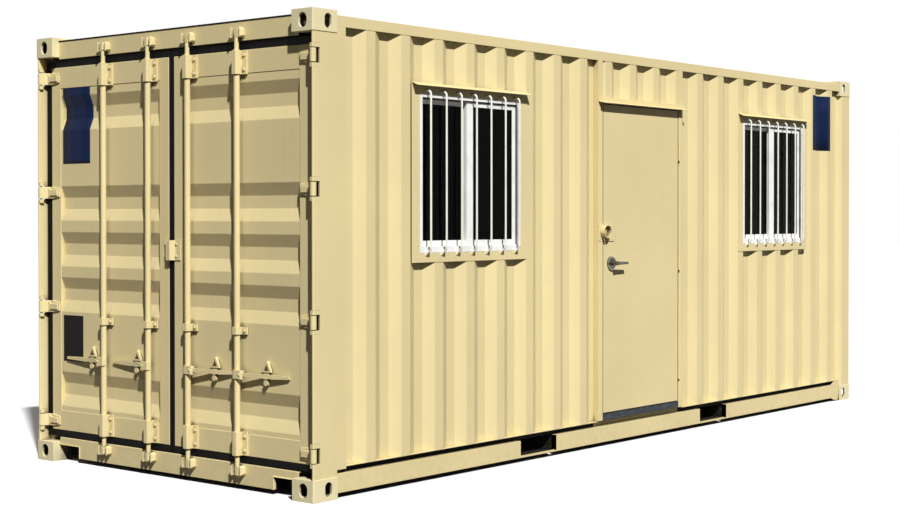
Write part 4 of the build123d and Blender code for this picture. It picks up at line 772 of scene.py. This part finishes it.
def roof_sheet():
    """The roof: height = rib height x ramp along the roof x ramp across it, where each ramp climbs as a half
    cosine between the foot and the crown of a rib."""
    a, b = low("roof_panel"), high("roof_panel")
    height = b[2] - a[2] - SHEET
    count = int((b[0] - a[0] - 2 * RIB_HALF) / RIB_PITCH)
    crowns = (np.arange(count + 1) - count / 2) * RIB_PITCH
    slope = np.linspace(RIB_HALF - RIB_CLIMB, RIB_HALF, 6)
    x = np.r_[a[0], (crowns[:, None] + np.r_[-slope[::-1], slope]).ravel(), b[0]]
    start = RIB_END + SIDE
    climb = np.linspace(0, RIB_CLIMB, 6)
    y = np.r_[a[1], start + climb, -start - climb[::-1], b[1]]
    gap = np.abs(x[:, None] - crowns).min(1)
    along = np.clip((RIB_HALF - gap) / RIB_CLIMB, 0, 1)
    across = np.clip((-start - np.abs(y)) / RIB_CLIMB, 0, 1)
    ramps = (1 - np.cos(math.pi * along))[:, None] * (1 - np.cos(math.pi * across)) / 4
    grid_x, grid_y = np.meshgrid(x, y, indexing="ij")
    points = np.stack([grid_x, grid_y, a[2] + SHEET + height * ramps], -1).reshape(-1, 3)
    piece = make("pressed_roof", [(points, [grid_faces(len(x), len(y))])], SLOTS["roof_panel"], "cabin", 60)
    thicken(piece)
    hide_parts("roof_panel")


# ---------------- fasteners, welds and seals
# Heights along the ends and on the entry door, in mm.
BRACKET_BOLTS = (218, 296, 875.5, 2303, 2381)
GUARD_BOLTS = (1272, 1342)
CARGO_HINGES = (245, 945, 1645, 2345)
ENTRY_HINGES = (436, 1191.5, 1947)
SILL_AND_HEADER = ((30, 116), (2476, 2565))
KEEPER_EDGES = (80, 138, 2476, 2534)
HASP_SCREWS = (1350, 1436)

CASTING_LENGTH, CASTING_WIDTH = 178, 162         # of a corner casting, in mm
SEAM = 6 * MM                    # width of a weld bead
GUARD_X, GUARD_Z = -431 * MM, 1400 * MM          # middle of the round guard over the hasp
GUARD_RADIUS, GUARD_DEPTH = 40 * MM, 36 * MM
GUARD_GAP = 3 * MM               # from its middle to each half


def at(depth, y, z):
    """A point behind the door end, in millimetres."""
    return np.array([END + depth * MM, y * MM, z * MM])


def leaf_bolts(leaf, way):
    """The bolts of a leaf's rod brackets and of its half of the guard plate."""
    bracket, beside_rod = 48, 41
    plate, off_middle = 54.6, 48
    bolts = []
    for side, y, name, _ in RODS:
        if name == leaf:
            for z in BRACKET_BOLTS:
                bolts += hex_bolt(at(bracket, side * y - beside_rod, z), OUT_OF_END, 15 * MM, 8 * MM)
    for z in GUARD_BOLTS:
        bolts += hex_bolt(at(plate, way * off_middle, z), OUT_OF_END, 13 * MM, 5 * MM)
    make(leaf + "_leaf_bolts", bolts, "painted_steel", leaf + "_leaf", 40)


def hinge_welds(leaf, way):
    """The weld round each hinge blade on a leaf: along its two slanting edges and across its end."""
    face, root, tip, end = 59, way * 1140, way * 1066, way * 1064.5
    root_half, tip_half, end_half = 36, 25.5, 25
    welds = []
    for z in CARGO_HINGES:
        for s in (-1, 1):
            start, stop = at(face, root, z + s * root_half), at(face, tip, z + s * tip_half)
            welds.append(weld_bead(start, stop, OUT_OF_END, SEAM))
        start, stop = at(face, end, z - end_half), at(face, end, z + end_half)
        welds.append(weld_bead(start, stop, OUT_OF_END, SEAM))
    make(leaf + "_hinge_welds", welds, "painted_steel", leaf + "_leaf", 80)


def handle_pins():
    """The domed head of the pin on which each lock handle hinges in its hub."""
    hub_face, beside_rod = 8.3, 36
    for side, y, leaf, place in RODS:
        body = "%s_rod_%s" % (leaf, place)
        centre = at(hub_face, side * (y + beside_rod), HANDLE_MIDDLE / MM)
        make(body + "_pin", [dome_rivet(centre, OUT_OF_END, 10 * MM, 4 * MM)], "painted_steel", body, 40)


def frame_welds():
    """Weld beads where posts, header, sill and keepers meet the castings and the end frames."""
    welds = []
    side, length = -SIDE / MM, -2 * END / MM
    post_end, post_inside = length - 132, 118
    seats = (high("bottom_corner_castings")[2] / MM, 1), (low("top_corner_castings")[2] / MM, -1)
    for way in (1, -1):
        edge, inner = way * (side - 4), way * (side - CASTING_WIDTH)
        for z, up in seats:
            slant = np.array([0, way, 0.6 * up]) / 1.17
            welds.append(weld_bead(at(8, edge, z), at(CASTING_LENGTH - 2, edge, z), slant, SEAM))
            welds.append(weld_bead(at(length - 8, edge, z), at(post_end, edge, z), slant, SEAM))
            start, stop = (at(length - 4, way * (side - y), z) for y in (8, post_inside))
            welds.append(weld_bead(start, stop, (1, 0, 0), SEAM))
        for foot, head in SILL_AND_HEADER:
            welds.append(weld_bead(at(50, inner, foot), at(50, inner, head), OUT_OF_END, 7 * MM))
    for way, y, _, _ in RODS:
        for z in KEEPER_EDGES:
            for a, b in ((-47, -34), (34, 47)):
                start, stop = at(49, way * y + a, z), at(49, way * y + b, z)
                welds.append(weld_bead(start, stop, OUT_OF_END, 5 * MM))
    make("end_frame_welds", welds, "painted_steel", "cabin", 80)


def leaf_seal_lip(leaf):
    """The bulb lip round a cargo leaf's seal."""
    a, b = low(leaf + "_leaf_gasket"), high(leaf + "_leaf_gasket")
    inset = 5 * MM
    path = ring_path((a[1] + inset, b[1] - inset), (a[2] + inset, b[2] - inset), a[0] + 1 * MM, True)
    lip = circle(1.0, 10) * (3.4 * MM, 4.2 * MM)
    make(leaf + "_seal_lip", [sweep(lip, path, OUT_OF_END, True)], "seal_rubber", leaf + "_leaf", 60)


def roof_edge_black_bead():
    """A black bead along the roof's front edge, between the castings."""
    half = -SIDE - CASTING_WIDTH * MM
    x, z = END + 52 * MM, ROOF - 20.5 * MM
    bead = circle(1.0, 12) * (6 * MM, 4.5 * MM)
    strip = sweep(bead, [(x, -half, z), (x, half, z)], (1, 0, 0))
    make("roof_edge_black_bead", [strip], "seal_rubber", "cabin", 60)


def entry_seals():
    """The bulb seal in the entry door's frame, and a black strip that the slab carries along its edge:
    painted shade that darkens the gap between slab and frame.
    """
    a, b = low("entry_slab"), high("entry_slab")
    y = b[1] + 2.4 * MM
    left, right, foot, head = a[0] + 2 * MM, b[0] - 2 * MM, a[2] + 6 * MM, b[2] - 3 * MM
    path = [(left, y, foot), (left, y, head), (right, y, head), (right, y, foot)]
    make("entry_bulb_seal", [sweep(circle(2.2 * MM, 10), path, OUT_OF_SIDE)], "seal_rubber", "cabin", 60)
    # Painted shade: a black strip in the gap beside the slab.
    gap_shade_strip = rectangle(0, 12, -1.8, 0) * MM
    y = a[1] + 13 * MM
    path = [(a[0], y, a[2] + 4 * MM), (a[0], y, b[2]), (b[0] - 30 * MM, y, b[2])]
    edges = [sweep(gap_shade_strip, stretch, OUT_OF_SIDE) for stretch in (path[:2], path[1:])]
    make("entry_gap_shade_strip", edges, "seal_rubber", "entry_door", 60)


def pile_seals_and_shade(number, centre):
    """Dark pile strips where a window's sashes run in its frame: beside each jamb and under the head. Their
    black is partly the pile's own and partly painted shade for the joints between sash and frame.
    """
    a, b = low("window_sashes"), high("window_sashes")
    width, gap, stile, jamb = 7 * MM, 0.3 * MM, 29 * MM, b[0] - WINDOWS[1]
    strips = []
    for way, face in ((1, SIDE + 18 * MM), (-1, SIDE + 44 * MM)):
        depth, edge = (face - 1.5 * MM, face + 0.5 * MM), centre + way * jamb
        beside, under = sorted((edge, edge - way * width)), sorted((edge, centre - stile))
        strips.append(block(*beside, *depth, a[2], b[2] - width - gap))
        strips.append(block(*under, *depth, b[2] - width, b[2]))
    # Partly painted shade: black lines in the joints between sash and frame.
    make("pile_seals_%d" % number, strips, "seal_rubber", "cabin", 30)


def glazing_strips(number, centre):
    """Black strips round both panes of a window, where the glass sits in its sash."""
    lip = np.array([(-4, -3), (4, -3), (2.5, 3), (-1, 3.4)]) * MM
    heights = low("window_glass")[2], high("window_glass")[2]
    strips = []
    for a, b, inset in ((-390, -29, 50.5), (29, 390, 24.5)):
        path = ring_path((centre + a * MM, centre + b * MM), heights, SIDE + inset * MM)
        strips.append(sweep(lip[::-1, ::-1], path, OUT_OF_SIDE, True))
    make("glazing_strips_%d" % number, strips, "seal_rubber", "cabin", 30)


def surround_screws(number, centre):
    """Pan-head screws round a window's surround, five along each side of its flange."""
    pan = np.array([(4.6, -0.3), (4.4, 1.2), (2.6, 2.3), (1, 2.5)]) * MM
    under, over, beside = 28 * MM, 26 * MM, 34 * MM
    screws = []
    for u in np.linspace(-1, 1, 5):
        x, z = centre + u * (WINDOW_HALF + 20 * MM), WINDOW_MIDDLE + u * WINDOW_HALF * 0.9
        for place in ((x, WINDOW_MIDDLE - WINDOW_HALF - under), (x, WINDOW_MIDDLE + WINDOW_HALF + over),
                      (centre - WINDOW_HALF - beside, z), (centre + WINDOW_HALF + beside, z)):
            screws.append(revolve(pan, (place[0], WINDOW_FLANGE, place[1]), OUT_OF_SIDE, 12))
    make("surround_screws_%d" % number, screws, "painted_steel", "cabin", 40)


def door_frame_ribs():
    """Two raised ribs of the pressed frame, up both posts of the entry door and past its head."""
    left, right, y = low("entry_head")[0], high("entry_head")[0], low("entry_posts")[1]
    foot, head = high("entry_threshold")[2], low("entry_head")[2]
    rib = np.array([(2.6, -3), (2.6, 3), (-1, 4.5), (-1, -4.5)]) * MM
    ribs = []
    for out in (13 * MM, 31 * MM):
        for x in (left - out, right + out):
            path = [(x, y, foot), (x, y, head + out)]
            ribs.append(sweep(rib, path if x < 0 else path[::-1], OUT_OF_SIDE))
    make("door_frame_ribs", ribs, "painted_steel", "cabin", 30)


def latch_strike():
    """The plate of the latch between the slab and its post."""
    plate = rectangle(-3.2, 3.2, -1.5, 1.5) * MM
    x, y = (low("entry_head")[0] + low("entry_slab")[0]) / 2, SLAB_FACE + 3 * MM
    strike = sweep(plate, [(x, y, 1146 * MM), (x, y, 1233 * MM)], (1, 0, 0))
    make("latch_strike", [strike], "dark_stainless", "cabin", 30)


def hasp_screws(name, columns, face, body):
    """The dome-headed screws of one of the hasp's plates."""
    places = [(x * MM, face, z * MM) for x in columns for z in HASP_SCREWS]
    screws = [dome_rivet(place, OUT_OF_SIDE, 5 * MM, 3 * MM) for place in places]
    make(name, screws, "painted_steel", body, 40)


def hinge_tips_and_shade():
    """The turned tip under each of the entry door's hinge pins, in dark metal that also stands in for the
    shade under each barrel (painted shade).
    """
    tip = np.array([(4.5, -0.5), (4.5, 1.5), (6, 3), (5, 7), (2, 9)]) * MM
    pin_x, pin_y, half_barrel = 460 * MM, SIDE - 3 * MM, 65
    tips = [revolve(tip, (pin_x, pin_y, (z - half_barrel) * MM), (0, 0, -1), 16) for z in ENTRY_HINGES]
    # Partly painted shade: a dark tip only at the foot of each barrel, where it shades.
    make("hinge_tips_and_shade", tips, "dark_stainless", "cabin", 50)


def lever_trim():
    """The raised rim of the lever's rose, and the plug of the key cylinder in its end, both in a paler copy
    of the rose's stainless that paints a highlight on them.
    """
    x, _, z = middle("lever_roses")
    sides = 48
    ring = circle(41.2 * MM, sides) + (x, z)
    path = np.stack([ring[:, 0], np.full(sides, low("lever_roses")[1]), ring[:, 1]], 1)
    section = np.array([(-3, -3.2), (0.4, -2.6), (0.8, 0), (0.2, 2.2), (-3, 3)]) * MM
    rim = sweep(section, path, OUT_OF_SIDE, True)
    # Painted highlight: the rim in the paler copy of the rose's stainless.
    make("rose_rim", [rim], "stainless_painted_highlight", "entry_door", 40, "dark_stainless")
    turned = np.array([(8.5, -2), (8.5, 0), (7.6, 0.5), (3, 0.5), (2.4, 0)]) * MM
    plug = revolve(turned, (x, low("lever_set")[1] + 0.6 * MM, z), OUT_OF_SIDE, 24)
    make("key_plug", [plug], "stainless_painted_highlight", "lever", 40, "dark_stainless")


def hasp_guard(name, node, way, plate_back, body):
    """One half of the round guard over the hasp: a wall carried round half a circle, point = centre + radius
    x (cosine, sine), on its flat plate, with the eye inside that a padlock's shackle goes through."""
    a, b = low(node), high(node)
    face, start = SIDE + 1 * MM, GUARD_X + way * GUARD_GAP
    gap = math.asin(GUARD_GAP / GUARD_RADIUS)
    turn = np.linspace(gap, math.pi - gap, 25) - math.pi / 2
    x, z = GUARD_X + way * GUARD_RADIUS * np.cos(turn), GUARD_Z + GUARD_RADIUS * np.sin(turn)
    path = np.stack([x, np.full_like(x, face), z], 1)
    wall = rectangle(0, GUARD_DEPTH, -2 * MM, 2 * MM)
    plate = sorted([start, a[0] if way < 0 else b[0]])
    eye = sorted([start, start + way * 8 * MM])
    parts = [sweep(wall, path, OUT_OF_SIDE), block(*plate, face, plate_back, a[2], b[2]),
             block(*eye, face - GUARD_DEPTH / 2, face, GUARD_Z - 12 * MM, GUARD_Z + 12 * MM)]
    piece = make(name, parts, "painted_steel", body, 35)
    round_edges(piece, 0.9 * MM, 2, 30)
    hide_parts(node)


def vinyl(name, line, along, across, place, body):
    """A bare panel of vinyl on a pressed sheet: depth = the sheet's rounded bends less 0.8 mm. along and
    across are its edges on the line and beside it."""
    bends = rounded(line, BEND, 4)
    inside = bends[(bends[:, 0] > along[0]) & (bends[:, 0] < along[1]), 0]
    along, across = np.unique(np.r_[np.linspace(*along, 20), inside]), np.linspace(*across, 4)
    distance, edge = np.meshgrid(along, across, indexing="ij")
    depth = np.interp(distance, bends[:, 0], bends[:, 1]) - 0.8 * MM
    points = np.stack(np.broadcast_arrays(*place(distance, depth, edge)), -1).reshape(-1, 3)
    faces = grid_faces(len(along), len(across))
    piece = make(name, [(points, [faces])], "navy_vinyl", body, 60, "dark_plate")
    give_thickness(piece, 0.5 * MM)


def plain_panels():
    """Two bare navy panels, one on the left cargo leaf and one near the blind end of the windowed side."""
    a, b = low("left_leaf_panel"), high("left_leaf_panel")
    line = trough_line(a[2], b[2])
    vinyl("leaf_vinyl", line, (1.82, 2.285), (0.765, 1.035), lambda d, e, y: (a[0] + e, y, d), "left_leaf")
    line = corrugation(low("cabin_wall_right")[0], high("cabin_wall_right")[0], *SIDE_PRESSING)
    vinyl("wall_vinyl", line, (2.41, 2.7), (2.02, 2.455), lambda d, e, z: (d, OUTER_FLAT + e, z), "cabin")


place_camera()
dress_nodes()
for node, width in EDGES.items():
    soften(node, width)
side_walls()
blind_end_sheet()
leaf_sheets()
roof_sheet()
for leaf, way in (("left", 1), ("right", -1)):
    leaf_bolts(leaf, way)
    hinge_welds(leaf, way)
handle_pins()
frame_welds()
leaf_seal_lip("left")
leaf_seal_lip("right")
roof_edge_black_bead()
entry_seals()
door_frame_ribs()
latch_strike()
hasp_screws("hasp_door_screws", (-352, -326), SLAB_FACE - 5 * MM, "entry_door")
hasp_screws("hasp_frame_screws", (-477,), low("entry_posts")[1] - 3 * MM, "cabin")
hinge_tips_and_shade()
lever_trim()
hasp_guard("hasp_jamb_guard", "hasp_jamb_half", -1, SIDE + 4 * MM, "cabin")
hasp_guard("hasp_door_guard", "hasp_door_half", 1, SLAB_FACE, "entry_door")
plain_panels()
for number, centre in enumerate(WINDOWS, 1):
    window_bars(number, centre)
    pile_seals_and_shade(number, centre)
    glazing_strips(number, centre)
    surround_screws(number, centre)


# ---------------- floor, light and sky
def behind_the_object(add):
    """1 for rays that show the floor or sky itself, straight, mirrored or through glass, and 0 for those that
    carry light."""
    seen = 0.0
    for kind in ("Is Camera Ray", "Is Transmission Ray", "Is Glossy Ray"):
        seen = add("Math", {0: add("LightPath", output=kind), 1: seen}, operation="MAXIMUM")
    return seen


def pale_floor():
    """A level floor that looks nearly white and throws little light back up."""
    made, add, _ = start_material("pale_floor")
    tone = cover(add, linear("#4A4845"), linear("#FAFAFA"), behind_the_object(add))
    add("OutputMaterial", {"Surface": add("BsdfDiffuse", {"Color": tone})})
    reach = 60.0
    corners = [(x, y, 0) for x, y in rectangle(-reach, reach, -reach, reach)]
    mesh = bpy.data.meshes.new("studio_floor")
    mesh.from_pydata(corners, [], [(0, 1, 2, 3)])
    mesh.materials.append(made)
    floor = bpy.data.objects.new("studio_floor", mesh)
    bpy.context.collection.objects.link(floor)


def lamp(name, power, spread, toward):
    """A sun lamp that lights faces turned toward it at that share of their colour, spread over that angle."""
    data = bpy.data.lights.new(name, "SUN")
    data.energy = math.pi * power
    data.angle = math.radians(spread)
    made = bpy.data.objects.new(name, data)
    made.rotation_euler = Vector(toward).to_track_quat("Z", "Y").to_euler()
    bpy.context.collection.objects.link(made)


def even_sky():
    """A white sky that adds only a little light."""
    world = bpy.data.worlds.new("even_sky")
    add = start_nodes(world)
    strength = add("MapRange", {"Value": behind_the_object(add), "To Min": 0.025, "To Max": 1.0})
    sky = add("Background", {"Color": (1, 1, 1, 1), "Strength": strength})
    add("OutputWorld", {"Surface": sky})
    bpy.context.scene.world = world
    bpy.context.scene.view_settings.view_transform = "Standard"


pale_floor()
lamp("key_lamp", 1.53, 2.0, (-0.386, -0.617, 0.686))    # high on the left of the viewpoint
lamp("fill_lamp", 0.5, 50.0, (0.68, 0.68, 0.27))        # broad and soft, from behind
even_sky()
